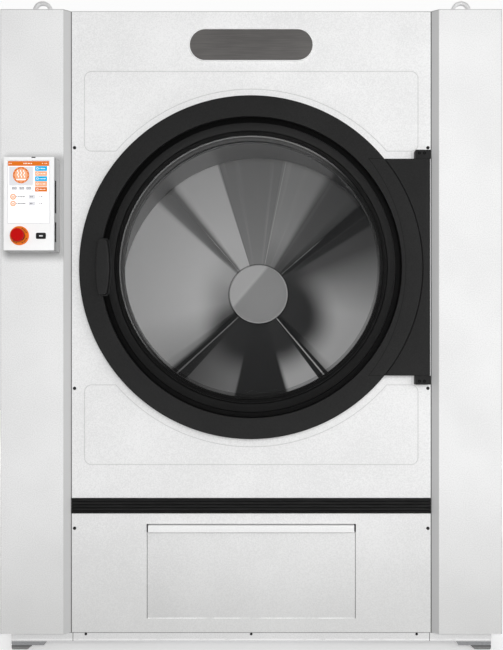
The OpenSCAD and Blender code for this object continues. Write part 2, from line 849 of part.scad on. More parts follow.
module hub_cap() color(zinc) turned_y([
  [0, rear_wall_y - hub_t], [hub_r - 6, rear_wall_y - hub_t], [hub_r, rear_wall_y - hub_t + 4],
  [hub_r, rear_wall_y], [0, rear_wall_y]]);

module drum_shaft() color(zinc) {
  bar_y(2.6 * shaft_r, drum_end, drum_end + shaft_flange_t);
  bar_y(shaft_r, drum_end, shaft_end);
}

// A pressed rib: a ridge that rises out of the wall from the hub to the rim
module back_rib() {
  start = hub_r;
  length = drum_r - start;
  tilt = atan(rib_h / length);
  ridge = 1.5;
  translate([start, 0, 0]) rotate([0, 0, -tilt]) rotate([90, 0, 90]) linear_extrude(length + 40)
    polygon([[1, -ridge], [1 + rib_h, -rib_half_w], [1 + rib_h, rib_half_w], [1, ridge]]);
}

module drum_pulley() color(steel) difference() {
  union() {
    ring_y(pulley_r, pulley_r - 20, pulley_y0, pulley_y1);
    bar_y(pulley_r - 19, pulley_y0 + 26, pulley_y0 + 38);
    bar_y(shaft_r + 35, pulley_y0 - 4, pulley_y1 + 4);
  }
  bar_y(shaft_r + run_gap, pulley_y0 - past, pulley_y1 + past);
  for (i = [0 : 5])
    translate([0, 0, axis_z]) rotate([0, i * 60, 0])
      bar_y(55, pulley_y0 - past, pulley_y1 + past, (pulley_r + shaft_r) / 2, 0);
}

// Drum housing and bearings

module drum_housing() color(zinc) difference() {
  ring_y(housing_out, housing_r, housing_y0, housing_y1);
  slab(-inlet_w / 2, inlet_w / 2, inlet_y0, inlet_y1, axis_z + drum_r / 2, body_top);
  slab(-lint_half + 20, lint_half - 20, housing_y0 + 25, lint_y1 - 25, 0, axis_z - drum_r / 2);
}

module housing_ends() color(zinc) {
  ring_y(housing_out, throat_r + throat_t + fit, housing_y0 - sheet_t, housing_y0);
  ring_y(housing_out, shaft_r + 15, housing_y1, housing_y1 + sheet_t);
}

module bearing_housing() color(steel) difference() {
  flange_half = bearing_r + bearing_wall + 15;
  flange_half_h = beam_pitch / 2 + beam_w / 2 - 10;
  union() {
    bar_y(bearing_r + bearing_wall, beam_y0 + 5, bearing_end);
    slab(-flange_half, flange_half, beam_y1, beam_y1 + 20, axis_z - flange_half_h,
         axis_z + flange_half_h);
  }
  bar_y(bearing_r + run_gap, beam_y0 - past, bearing_end + past);
}

module bearings() color(zinc)
  for (y = [beam_y0 + 15, bearing_end - bearing_w - 5])
    ring_y(bearing_r, shaft_r + run_gap, y, y + bearing_w);

// Drum drive

module drive_motor() color(steel) {
  body_r = motor_r - 12;
  difference() {
    bar_y(body_r, motor_y0, motor_y1, motor_x, motor_z);
    bar_y(motor_shaft_r + fit, motor_y1 - 18, motor_y1 + past, motor_x, motor_z);
  }
  for (i = [0 : 17])
    translate([motor_x, 0, motor_z]) rotate([0, 20 * i, 0])
      slab(body_r - 2, motor_r, motor_y0 + 25, motor_y1 - 25, -2, 2);
  slab(motor_x - 95, motor_x + 95, motor_y0 + 30, motor_y1 - 30, stand_z, motor_z - body_r + 14);
  slab(motor_x - 45, motor_x + 45, motor_y0 + 45, motor_y1 - 45, motor_z + body_r - 8,
       motor_z + motor_r + 22);
}

module motor_stand() color(zinc) {
  plate_z = stand_z - 12;
  plate_half = motor_r + 15;
  leg_w = 40;
  slab(motor_x - plate_half, motor_x + plate_half, motor_y0, motor_y1, plate_z, stand_z);
  for (x = [motor_x - plate_half + 20, motor_x + plate_half - 20 - leg_w], y = cross_y)
    slab(x, x + leg_w, y + 5, min(y + 5 + leg_w, motor_y1), base_top, plate_z + 1);
}

module motor_pulley() color(steel) {
  bar_y(motor_pulley_r, pulley_y0, pulley_y1, motor_x, motor_z);
  bar_y(motor_shaft_r, motor_y1 - 16, pulley_y1 + 8, motor_x, motor_z);
}

// Outline round the two pulleys, wider all round by extra: two circles and the strip
// between their outer tangents
module belt_outline(extra) {
  r1 = pulley_r + 2 * fit + extra;
  r2 = motor_pulley_r + fit + extra;
  drop = motor_z - axis_z;
  lean = atan2(drop, motor_x);
  spread = acos((r1 - r2) / norm([motor_x, drop]));
  touch = [for (side = [-1, 1]) [cos(lean + side * spread), sin(lean + side * spread)]];
  big = [0, axis_z];
  small = [motor_x, motor_z];
  translate(big) circle(r1);
  translate(small) circle(r2);
  polygon([big, big + r1 * touch[0], small + r2 * touch[0], small, small + r2 * touch[1],
           big + r1 * touch[1]]);
}

module drive_belt() color(rubber)
  plate_y(pulley_y0 + 4, pulley_y1 - 4) difference() {
    belt_outline(belt_t);
    belt_outline(0);
  }

// Lint housing and drawer

module lint_housing() color(zinc) difference() {
  slab(-lint_half, lint_half, panel_back, lint_y1, lint_z, lint_top);
  slab(-lint_half + sheet_t, lint_half - sheet_t, flange_back, lint_y1 - sheet_t,
       lint_z + sheet_t, lint_top - sheet_t);
  bar_y(housing_out + fit, housing_y0 - sheet_t - fit, lint_y1 + past);
  drawer_mouth(panel_back - past, panel_back + past);
  suction_mouth(lint_y1 - past, lint_y1 + past);
}

module suction_mouth(y0, y1)
  slab(-lint_half + 4, fan_cx + duct_half - 4, y0, y1, fan_z - duct_half + 4,
       fan_z + duct_half - 4);

module drawer_runners() color(steel) both_sides()
  slab(tray_half + 2, lint_half - sheet_t, flange_back + 6, tray_y1, rail_z - 10, rail_z);

module drawer_front() color(white) {
  top = drawer_z + drawer_h;
  lip_y = panel_y - lip_proud;
  half = drawer_w / 2;
  lip_half = half - lip_inset;
  slab(-half, half, panel_y, panel_back, drawer_z, top - lip_h);
  slab(-lip_half, lip_half, panel_y, panel_back, top - lip_h - 1, top);
  slab(-lip_half, lip_half, lip_y, panel_y + sheet_t / 2, top - sheet_t, top);
  slab(-lip_half, lip_half, lip_y, lip_y + sheet_t, top - lip_h, top);
}

module drawer_tray() color(zinc) {
  difference() {
    slab(-tray_half, tray_half, panel_back, tray_y1, tray_z, tray_top);
    slab(-tray_half + sheet_t, tray_half - sheet_t, flange_back, tray_y1 - sheet_t,
         tray_z + sheet_t, tray_top + past);
    slab(-tray_half + 14, tray_half - 14, flange_back + 12, tray_y1 - 14, tray_z - past,
         tray_top);
  }
  both_sides()
    slab(tray_half - 1, tray_half + 8 - fit, flange_back + 6, tray_y1, rail_z + fit,
         rail_z + fit + 3);
}

module lint_screen() color(steel) {
  half = tray_half - sheet_t - fit;
  y0 = flange_back + fit;
  y1 = tray_y1 - sheet_t - fit;
  columns = 10;
  rows = 8;
  pitch_x = 2 * (half - 16) / columns;
  pitch_y = (y1 - y0 - 32) / rows;
  difference() {
    slab(-half, half, y0, y1, tray_z + sheet_t, tray_z + sheet_t + 4);
    for (i = [0 : columns - 1], j = [0 : rows - 1])
      translate([-half + 16 + pitch_x * i, y0 + 16 + pitch_y * j, tray_z])
        cube([pitch_x - 6, pitch_y - 6, 20]);
  }
}

// Hot air

module heater_box() color(zinc) difference() {
  half = heater_w / 2;
  slab(-half, half, heater_y0, heater_y1, body_top, heater_top);
  slab(-half + sheet_t, half - sheet_t, heater_y0 + sheet_t, heater_y1 - sheet_t,
       body_top + sheet_t, heater_top - sheet_t);
  slab(-inlet_w / 2, inlet_w / 2, inlet_y0, inlet_y1, body_top - past, body_top + past);
  slab(-half + 35, half - 35, heater_y1 - past, heater_y1 + past, body_top + 30,
       heater_top - 30);
  for (z = pipe_heights())
    translate([half - past, coil_y, z]) rotate([0, 90, 0]) cylinder(r = pipe_r + fit, h = 3 * past);
}

function pipe_heights() = [body_top + pipe_inset, heater_top - pipe_inset];

module pipe_x(r, x0, x1, z)
  translate([x0, coil_y, z]) rotate([0, 90, 0]) cylinder(r = r, h = x1 - x0);

// A finned coil between two headers, with its supply and return pipes on the right
module heater_coil() color([0.72, 0.45, 0.3]) {
  half = heater_w / 2 - pipe_out;
  fins = 24;
  tubes = 4;
  fin_half = 60;
  low = body_top + sheet_t + fit;
  pitch = 2 * half / (fins - 1);
  for (i = [0 : fins - 1])
    slab(-half + pitch * i - 0.8, -half + pitch * i + 0.8, coil_y - fin_half, coil_y + fin_half,
         low, heater_top - sheet_t - 10);
  for (i = [0 : tubes - 1])
    pipe_x(12, -half - 20, half + 20, low + 45 + i * (heater_h - 100) / (tubes - 1));
  both_sides()
    translate([half + 20, coil_y, low + 10]) cylinder(r = pipe_r, h = heater_h - 40);
  for (z = pipe_heights()) difference() {
    union() {
      pipe_x(pipe_r - 2, half + 20, heater_w / 2 + 4, z);
      pipe_x(pipe_r, heater_w / 2 + 2, heater_w / 2 + pipe_out, z);
    }
    pipe_x(pipe_r - 4, heater_w / 2 + 20, heater_w / 2 + pipe_out + past, z);
  }
}

module air_filter() color(steel) {
  half = heater_w / 2 - 15;
  frame_w = 25;
  slats = 9;
  low = body_top + 12;
  high = heater_top - 12;
  pitch = (high - low - 2 * frame_w) / slats;
  difference() {
    slab(-half, half, heater_y1, heater_y1 + 16, low, high);
    slab(-half + frame_w, half - frame_w, heater_y1 - past, heater_y1 + 16 + past,
         low + frame_w, high - frame_w);
  }
  for (i = [0 : slats - 1])
    slab(-half + frame_w - 1, half - frame_w + 1, heater_y1 + 2, heater_y1 + 14,
         low + frame_w + pitch * (i + 0.5) - 1.5, low + frame_w + pitch * (i + 0.5) + 1.5);
}

// The duct from the heater down to the drum, and the duct from the lint housing to the fan
module air_ducts() color(zinc) {
  difference() {
    slab(-inlet_w / 2 - sheet_t, inlet_w / 2 + sheet_t, inlet_y0 - sheet_t, inlet_y1 + sheet_t,
         axis_z + drum_r / 2, roof_under);
    slab(-inlet_w / 2, inlet_w / 2, inlet_y0, inlet_y1, axis_z, body_top + past);
    bar_y(housing_out + fit, inlet_y0 - 2 * past, inlet_y1 + 2 * past);
  }
  difference() {
    slab(fan_cx - duct_half, fan_cx + duct_half, lint_y1, scroll_y0, fan_z - duct_half,
         fan_z + duct_half);
    slab(fan_cx - duct_half + sheet_t, fan_cx + duct_half - sheet_t, lint_y1 + sheet_t,
         scroll_y0 - sheet_t, fan_z - duct_half + sheet_t, fan_z + duct_half - sheet_t);
    suction_mouth(lint_y1 - past, lint_y1 + past);
    bar_y(fan_eye_r, scroll_y0 - past, scroll_y0 + past, fan_cx, fan_z);
  }
}

// Fan and exhaust

module scroll_outline(inwards) {
  translate([fan_cx, fan_z]) circle(scroll_r - inwards);
  translate([fan_cx - scroll_r + inwards, fan_z])
    square([2 * exhaust_r + 16 - 2 * inwards, exhaust_z + exhaust_r + 15 - fan_z - inwards]);
}

module fan_scroll() color(zinc) {
  difference() {
    plate_y(scroll_y0, scroll_y1) scroll_outline(0);
    plate_y(scroll_y0 + sheet_t, scroll_y1 - sheet_t) scroll_outline(sheet_t);
    bar_y(fan_eye_r, scroll_y0 - past, scroll_y0 + past, fan_cx, fan_z);
    bar_y(30, scroll_y1 - past, scroll_y1 + past, fan_cx, fan_z);
    bar_y(exhaust_r - sheet_t - 1.5, scroll_y1 - past, scroll_y1 + past, exhaust_x, exhaust_z);
  }
  difference() {
    slab(fan_cx - 60, fan_cx + 60, cross_y[1] + 5, cross_y[1] + base_beam_w - 5, base_top,
         fan_z - scroll_r + 20);
    bar_y(scroll_r - sheet_t / 2, scroll_y0 - past, scroll_y1 + past, fan_cx, fan_z);
  }
}

module fan_wheel() color(steel) {
  wheel_y0 = scroll_y0 + 22;
  wheel_y1 = scroll_y1 - 22;
  ring_y(wheel_r, fan_eye_r + 2, wheel_y0, wheel_y0 + 3, fan_cx, fan_z);
  bar_y(wheel_r, wheel_y1 - 4, wheel_y1, fan_cx, fan_z);
  bar_y(26, wheel_y1 - 60, wheel_y1, fan_cx, fan_z);
  bar_y(fan_shaft_r, wheel_y1 - 2, scroll_y1 + 16, fan_cx, fan_z);
  for (i = [0 : blade_n - 1])
    translate([fan_cx, 0, fan_z]) rotate([0, i * 360 / blade_n, 0])
      translate([wheel_r - 6, 0, 0]) rotate([0, 32, 0])
        slab(-54, 0, wheel_y0 + 1, wheel_y1 - 1, -1.5, 1.5);
}

module fan_motor() color(steel) {
  end = back_y - 12;
  difference() {
    bar_y(fan_motor_r - 8, scroll_y1, end, fan_cx, fan_z);
    bar_y(fan_shaft_r + fit, scroll_y1 - past, scroll_y1 + 18, fan_cx, fan_z);
  }
  for (i = [0 : 15])
    translate([fan_cx, 0, fan_z]) rotate([0, 22.5 * i, 0])
      slab(fan_motor_r - 10, fan_motor_r, scroll_y1 + 12, end - 15, -1.5, 1.5);
}

// The spigot that the exhaust pipe slides over is a little wider than the tube behind it
module exhaust_collar() color(zinc) {
  bore = exhaust_r - sheet_t - 1.5;
  tube_r = exhaust_r - 1.5;
  turned_y([
    [bore, scroll_y1], [exhaust_r + 18, scroll_y1], [exhaust_r + 18, scroll_y1 + 3],
    [tube_r, scroll_y1 + 3], [tube_r, back_y + 2], [exhaust_r, back_y + 2],
    [exhaust_r, exhaust_end], [bore, exhaust_end]], exhaust_x, exhaust_z);
}

module cable_gland() color(dark) difference() {
  union() {
    bar_y(gland_r, back_y - 14, back_y + 4, gland_x, gland_z);
    translate([gland_x, back_y, gland_z]) rotate([-90, 0, 0]) cylinder(r = 24, h = 9, $fn = 6);
    translate([gland_x, back_y - sheet_t - 8, gland_z]) rotate([-90, 0, 0])
      cylinder(r = 24, h = 8, $fn = 6);
    bar_y(gland_r - 1, back_y, back_y + 26, gland_x, gland_z);
  }
  bar_y(9, back_y - 40, back_y + 40, gland_x, gland_z);
}

// Control box

module control_box() color(white) difference() {
  slab(box_x0, box_x1, box_front + face_t, front_y, box_z, box_z + box_h);
  slab(box_x0 + sheet_t, box_x1 - sheet_t, box_front + face_t - past, front_y - sheet_t,
       box_z + sheet_t, box_z + box_h - sheet_t);
  for (span = vent_spans)
    slab(box_x1 - past, box_x1 + past, box_front + vent_depths[0], box_front + vent_depths[1],
         box_z + span[0], box_z + span[1]);
}

module control_face() color(white) difference() {
  slab(box_x0, box_x1, box_front, box_front + face_t, box_z, box_z + box_h);
  screen_block(0, box_front - past, box_front + past);
  bar_y(11 + fit, box_front - past, box_front + past, stop_x, stop_z);
  slab(port_x - port_half, port_x + port_half, box_front - past, box_front + past,
       port_z - port_half_h, port_z + port_half_h);
  slab(box_x0 + 84, box_x0 + 96, box_front - past, box_front + past, box_z + box_h - 3,
       box_z + box_h + past);
}

module screen_block(inwards, y0, y1)
  slab(screen_x - screen_w / 2 + inwards, screen_x + screen_w / 2 - inwards, y0, y1,
       screen_z - screen_h / 2 + inwards, screen_z + screen_h / 2 - inwards);

module touch_screen() color([0.93, 0.93, 0.93])
  screen_block(fit, box_front + 0.6, box_front + 9);

module control_board() color([0.1, 0.35, 0.2]) {
  board_y = front_y - board_inset;
  z0 = box_z + board_inset;
  z1 = box_z + box_h - board_inset;
  slab(box_x0 + 14, box_x1 - 14, board_y - 2, board_y, z0, z1);
  for (x = [box_x0 + 24, box_x1 - 24], z = [z0 + 10, z1 - 10])
    bar_y(4, board_y - 1, front_y - sheet_t, x, z);
  for (rise = chip_rows)
    slab(box_x0 + chip_w, box_x0 + 2 * chip_w, board_y - 12, board_y - 1, box_z + rise,
         box_z + rise + chip_h);
}

module usb_port() color(dark) difference() {
  union() {
    slab(port_x - 15, port_x + 15, box_front - 1.5, box_front, port_z - 9.3, port_z + 9.3);
    slab(port_x - port_half + fit, port_x + port_half - fit, box_front - 0.5, box_front + 16,
         port_z - port_half_h + fit, port_z + port_half_h - fit);
  }
  slab(port_x - 6.5, port_x + 6.5, box_front - past, box_front + 8, port_z - 2.5, port_z + 2.5);
}

module stop_base() color([0.9, 0.47, 0.15]) turned_y([
  [7 + run_gap, neck_front], [16, neck_front], [17, box_front - 3], [stop_base_r - 1, box_front - 3],
  [stop_base_r, box_front - 2], [stop_base_r, box_front], [11, box_front], [11, box_front + 25],
  [7 + run_gap, box_front + 25]], stop_x, stop_z);

module stop_button() color([0.76, 0.06, 0.05]) {
  head_back = neck_front - stop_gap;
  turned_y([
    [0, head_back - 14], [stop_head_r - 6, head_back - 13], [stop_head_r - 1, head_back - 9],
    [stop_head_r, head_back - 5], [stop_head_r - 1.5, head_back], [7, head_back],
    [7, box_front + 18], [0, box_front + 18]], stop_x, stop_z);
}

base_beams();
foot_plates();
foot_pads();
cabinet_frame();
pillar_covers();
side_panels();
roof_panel();
rear_panel();
drive_cover();
upper_front_panel();
lower_front_panel();
bumper_strip();
badge_plate();
lifting_eyes();
panel_screws();
throat_ring();
door_seal();
hinge_brackets();
hinge_pins();
control_box();
control_face();
touch_screen();
control_board();
usb_port();
stop_base();
stop_button();
drum_housing();
housing_ends();
lint_housing();
drawer_runners();
bearing_housing();
bearings();
drive_motor();
motor_stand();
drive_belt();
heater_box();
heater_coil();
air_filter();
air_ducts();
fan_scroll();
fan_wheel();
fan_motor();
exhaust_collar();
cable_gland();
door_ring();
hinge_plate();
door_inner_ring();
glass_seal();
door_glass();
door_handle();
drum_shell();
lifters();
drum_back();
hub_cap();
drum_shaft();
drum_pulley();
motor_pulley();
drawer_front();
drawer_tray();
lint_screen();
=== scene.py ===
"""The looks of a large industrial tumble dryer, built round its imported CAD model.

Metres throughout, front towards -Y, floor at Z = 0. Every size that the CAD model settles is read from the
frame, and the sizes that only the looks need stand in the property groups.
"""

import math
import random

import bmesh
import bpy
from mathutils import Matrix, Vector


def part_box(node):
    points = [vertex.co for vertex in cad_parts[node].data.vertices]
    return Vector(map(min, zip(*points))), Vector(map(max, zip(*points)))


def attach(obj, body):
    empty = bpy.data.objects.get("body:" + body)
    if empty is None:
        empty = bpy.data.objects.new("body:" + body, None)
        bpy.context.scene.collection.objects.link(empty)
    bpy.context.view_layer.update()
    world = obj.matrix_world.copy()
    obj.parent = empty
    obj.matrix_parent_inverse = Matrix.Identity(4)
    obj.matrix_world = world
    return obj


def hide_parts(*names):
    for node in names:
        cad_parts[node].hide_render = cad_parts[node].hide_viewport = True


bl_info = {
    "name": "Industrial tumble dryer",
    "version": (1, 0, 0),
    "blender": (4, 5, 0),
    "location": "View3D > Sidebar > Dryer",
    "description": "Dresses the CAD model of a large tumble dryer",
    "category": "Object",
}

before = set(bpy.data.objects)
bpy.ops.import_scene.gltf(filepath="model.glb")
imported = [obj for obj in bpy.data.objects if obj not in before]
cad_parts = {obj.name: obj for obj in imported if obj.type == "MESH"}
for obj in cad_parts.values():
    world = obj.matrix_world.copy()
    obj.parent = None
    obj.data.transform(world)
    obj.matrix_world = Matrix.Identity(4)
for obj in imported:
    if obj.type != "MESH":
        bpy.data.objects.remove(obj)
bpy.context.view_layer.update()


def tone(red, green=None, blue=None):
    """A display colour from 0 to 255 as Blender's linear colour."""
    parts = (red, red, red) if green is None else (red, green, blue)
    return tuple(
        c / 255 / 12.92 if c / 255 <= 0.04045 else ((c / 255 + 0.055) / 1.055) ** 2.4 for c in parts
    )


def rgba(colour):
    """A colour with full alpha."""
    return (*tuple(colour)[:3], 1.0)


class Value:
    """A number socket of a finish. Python's operators join such sockets with Math nodes."""

    def __init__(self, finish, socket):
        self.finish = finish
        self.socket = socket

    def __add__(self, other):
        return self.finish.math("ADD", self, other)

    __radd__ = __add__

    def __sub__(self, other):
        return self.finish.math("SUBTRACT", self, other)

    def __rsub__(self, other):
        return self.finish.math("SUBTRACT", other, self)

    def __mul__(self, other):
        return self.finish.math("MULTIPLY", self, other)

    __rmul__ = __mul__

    def __truediv__(self, other):
        return self.finish.math("DIVIDE", self, other)

    def __abs__(self):
        return self.finish.math("ABSOLUTE", self)

    def __lt__(self, other):
        return self.finish.math("LESS_THAN", self, other)

    def __gt__(self, other):
        return self.finish.math("GREATER_THAN", self, other)


class Finish:
    """One material: it adds nodes by type and hands their sockets back."""

    def __init__(self, name, **sockets):
        self.material = bpy.data.materials.new(name)
        self.material.use_nodes = True
        self.tree = self.material.node_tree
        self.shader = self.tree.nodes["Principled BSDF"]
        self.output = self.tree.nodes["Material Output"]
        for socket, value in sockets.items():
            self.feed(socket.replace("_", " ").title().replace("Ior", "IOR"), value)

    def put(self, socket, value):
        """Links or sets one input socket."""
        if isinstance(value, Value):
            value = value.socket
        if isinstance(value, bpy.types.NodeSocket):
            self.tree.links.new(value, socket)
        elif isinstance(socket.default_value, (int, float)):
            socket.default_value = value
        elif len(socket.default_value) == 4:
            socket.default_value = rgba(value)
        else:
            socket.default_value = value

    def node(self, kind, settings=(), inputs=()):
        """A node of one type with its settings, then the values or links of its sockets."""
        made = self.tree.nodes.new("ShaderNode" + kind)
        for key, value in dict(settings).items():
            if key == "stops":
                stops = made.color_ramp.elements
                for place, _ in value[2:]:
                    stops.new(place)
                for stop, (place, colour) in zip(stops, value):
                    stop.position = place
                    stop.color = rgba(colour)
            else:
                setattr(made, key, value)
        for key, value in dict(inputs).items():
            self.put(made.inputs[key], value)
        return made

    def feed(self, socket, value):
        """Links or sets an input of the shader."""
        self.put(self.shader.inputs[socket], value)

    def painted(self):
        """The colour that feeds the shader so far, to lay a mark over."""
        return self.shader.inputs["Base Color"].links[0].from_socket

    def see_through(self, tint, factor):
        """Shows a clear tinted sheet, and the shader over it by a factor."""
        clear = self.node("BsdfTransparent", (), {"Color": tint})
        both = self.node("MixShader", (), {0: factor, 1: clear.outputs[0], 2: self.shader.outputs[0]})
        self.tree.links.new(both.outputs[0], self.output.inputs["Surface"])

    def math(self, operation, *terms):
        """One Math node on numbers or values."""
        made = self.node("Math", {"operation": operation}, enumerate(terms))
        return Value(self, made.outputs[0])

    def place(self):
        """Where a point lies on the object, as a vector socket."""
        return self.node("TexCoord").outputs["Object"]

    def axes(self):
        """The same place as three numbers."""
        made = self.node("SeparateXYZ", (), {"Vector": self.place()})
        return [Value(self, made.outputs[i]) for i in range(3)]

    def from_drum(self):
        """The place as seen along the drum's axis: sideways, upwards and the distance from the axis."""
        x, _, z = self.axes()
        rise = z - DRUM_Z
        return x, rise, self.math("SQRT", x * x + rise * rise)

    def stretched(self, factors):
        """The place with each axis stretched by its own factor."""
        made = self.node("VectorMath", {"operation": "MULTIPLY"}, {0: self.place(), 1: factors})
        return made.outputs[0]

    def noise(self, scale, detail=2.0, rough=0.5, stretch=None, vector=None):
        """Cloudy noise between 0 and 1."""
        vector = vector or (self.stretched(stretch) if stretch else self.place())
        inputs = {"Vector": vector, "Scale": scale, "Detail": detail, "Roughness": rough}
        return Value(self, self.node("TexNoise", (), inputs).outputs["Fac"])

    def band(self, value, low, high, out_low=0.0, out_high=1.0):
        """Maps a number from one range to another, smoothly and with clamped ends."""
        inputs = {"Value": value, "From Min": low, "From Max": high}
        inputs.update({"To Min": out_low, "To Max": out_high})
        made = self.node("MapRange", {"interpolation_type": "SMOOTHSTEP"}, inputs)
        return Value(self, made.outputs["Result"])

    def mix(self, factor, first, second):
        """A blend of two colours."""
        made = self.node("Mix", {"data_type": "RGBA"}, {0: factor, 6: first, 7: second})
        return made.outputs[2]

    def ramp(self, value, stops):
        """A colour that changes from stop to stop with a value."""
        return self.node("ValToRGB", {"stops": stops}, {0: value}).outputs[0]

    def bump(self, height, distance, strength=1.0):
        """Raises the surface by a height and feeds the shader's normal."""
        inputs = {"Height": height, "Distance": distance, "Strength": strength}
        self.feed("Normal", self.node("Bump", (), inputs).outputs[0])


# Places that the CAD model settles

RING_LOW, RING_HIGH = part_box("door_ring")
PANEL_LOW, PANEL_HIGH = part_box("upper_front_panel")
SHELL_THICK = 0.0025
DRUM_Z = (RING_LOW[2] + RING_HIGH[2]) / 2
DRUM_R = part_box("drum_shell")[1][0] - SHELL_THICK
HUB_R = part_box("hub_cap")[1][0]
DOOR_R = RING_HIGH[0]
DOOR_FRONT = RING_LOW[1]
DOOR_BACK = RING_HIGH[1]
PANEL_FRONT = PANEL_LOW[1]
ROOF_Z = PANEL_HIGH[2]
SKIRT_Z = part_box("lower_front_panel")[0][2]
PANEL_BACK = PANEL_HIGH[1]
PILLAR_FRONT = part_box("pillar_covers")[0][1]
HALF_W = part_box("pillar_covers")[1][0]
SEAM_X = PANEL_HIGH[0]
PIN_LOW, PIN_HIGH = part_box("hinge_pins")
PIN_X, PIN_Y = (PIN_LOW[0] + PIN_HIGH[0]) / 2, (PIN_LOW[1] + PIN_HIGH[1]) / 2
BOX_LOW, BOX_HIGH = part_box("control_box")
LIP_H = 0.023
LIP_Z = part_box("drawer_front")[1][2] - LIP_H

# Places of marks that only the finishes show, in metres

CHAMFER_W = 0.0242
HOLES_END = 0.1
WALL_LIP_Y = -0.785
PLATE_SEAM_R = 0.475
PLATE_SEAM_BOW = 0.144
PLATE_SEAM_HALF = 0.333
PLATE_END_R = 0.491
GROOVE_R = 0.4445
RING_LINE_R = 0.4195
BEVEL_LINE_R = 0.4018
REAR_RIM_R = 0.647
BEAM_HIGHLIGHT_Z = 0.0325


class DryerColours(bpy.types.PropertyGroup):
    """Colours of the painted and moulded pieces."""

    panel_white: bpy.props.FloatVectorProperty(
        name="Panel white", description="Powder paint of the cabinet", subtype="COLOR",
        default=tone(238, 238, 238)
    )
    door_dark: bpy.props.FloatVectorProperty(
        name="Door grey", description="Powder paint of the door and its handle", subtype="COLOR",
        default=tone(38, 38, 38)
    )
    stop_red: bpy.props.FloatVectorProperty(
        name="Stop red", description="Head of the emergency stop", subtype="COLOR",
        default=tone(191, 7, 6)
    )
    disc_orange: bpy.props.FloatVectorProperty(
        name="Disc orange", description="Disc under the emergency stop", subtype="COLOR",
        default=tone(231, 116, 26)
    )
    screen_orange: bpy.props.FloatVectorProperty(
        name="Screen orange", description="Strong tiles of the screen", subtype="COLOR",
        default=tone(222, 113, 26)
    )
    screen_peach: bpy.props.FloatVectorProperty(
        name="Screen peach", description="Soft tiles of the screen", subtype="COLOR",
        default=tone(244, 176, 136)
    )
    screen_blue: bpy.props.FloatVectorProperty(
        name="Screen blue", description="Blue tiles of the screen", subtype="COLOR",
        default=tone(8, 176, 228)
    )


class DryerSizes(bpy.types.PropertyGroup):
    """Sizes that only the looks need."""

    hole_pitch: bpy.props.FloatProperty(
        name="Hole pitch", description="Distance between the drum's air holes", subtype="DISTANCE",
        unit="LENGTH", default=0.012, min=0.006, max=0.04
    )
    hole_size: bpy.props.FloatProperty(
        name="Hole size", description="Diameter of the drum's air holes", subtype="DISTANCE",
        unit="LENGTH", default=0.005, min=0.002, max=0.02
    )
    key_power: bpy.props.FloatProperty(
        name="Key light", description="Power of the large light at the front", default=132.0, min=0.0
    )
    fill_power: bpy.props.FloatProperty(
        name="Fill light", description="Power of the light at the front right", default=26.0, min=0.0
    )
    rear_power: bpy.props.FloatProperty(
        name="Rear lights", description="Power of each soft light behind the dryer", default=95.0, min=0.0
    )
    world_strength: bpy.props.FloatProperty(
        name="Surround", description="Strength of the pale surround", default=0.25, min=0.0
    )
    drum_power: bpy.props.FloatProperty(
        name="Drum light", description="Power of the spot that shines into the drum", default=570.0, min=0.0
    )
    wall_power: bpy.props.FloatProperty(
        name="Drum wall light", description="Power of the soft lamp on the drum's axis", default=6.0, min=0.0
    )


# Finishes

finishes = {}


def finish(make):
    """Keeps each finish once, under its function's name."""

    def kept():
        if make.__name__ not in finishes:
            finishes[make.__name__] = make().material
        return finishes[make.__name__]

    return kept


def colour(name):
    """A colour from the dryer's colour properties."""
    return getattr(bpy.context.scene.dryer_colours, name)


def powder_coat(name, light, dark, roughness, grain=0.00006, shine=0.35):
    """Baked powder paint: a fine orange peel, a faint mottle and scuffs in the gloss."""
    made = Finish(name, specular_ior_level=shine)
    mottle = made.noise(300, 3, 0.7) * 0.75 + made.noise(4.5, 2) * 0.25
    made.feed("Base Color", made.mix(made.band(mottle, 0.38, 0.62), dark, light))
    scuffs = made.band(made.noise(30, 6, 0.7, (1, 1, 0.25)), 0.55, 0.75)
    made.feed("Roughness", scuffs * 0.08 + roughness)
    made.bump(made.noise(1100, 2) + made.noise(330, 2) * 0.6, grain)
    return made


def dust_shaded_white(name):
    """The cabinet's white paint, its colour with dust and painted shade that grey it towards the floor, and
    the place.
    """
    white = colour("panel_white")
    made = powder_coat(name, white, [c * 0.87 for c in white], 0.42, 0.0001)
    x, y, height = made.axes()
    fade_low, fade_high = 0.06, 0.62
    # Dust and painted shade: the paint greys towards the floor.
    dust_and_shade = made.band(height + made.noise(7, 4) * 0.14, fade_low, fade_high, 1.0, 0.0)
    return made, made.mix(dust_and_shade * 0.45, made.painted(), tone(184, 184, 182)), x, y, height


def past_edge(made, place, low, high):
    """How far a place lies outside a stretch, and 0 within it."""
    return made.math("MAXIMUM", abs(place - (low + high) / 2) - (high - low) / 2, 0.0)


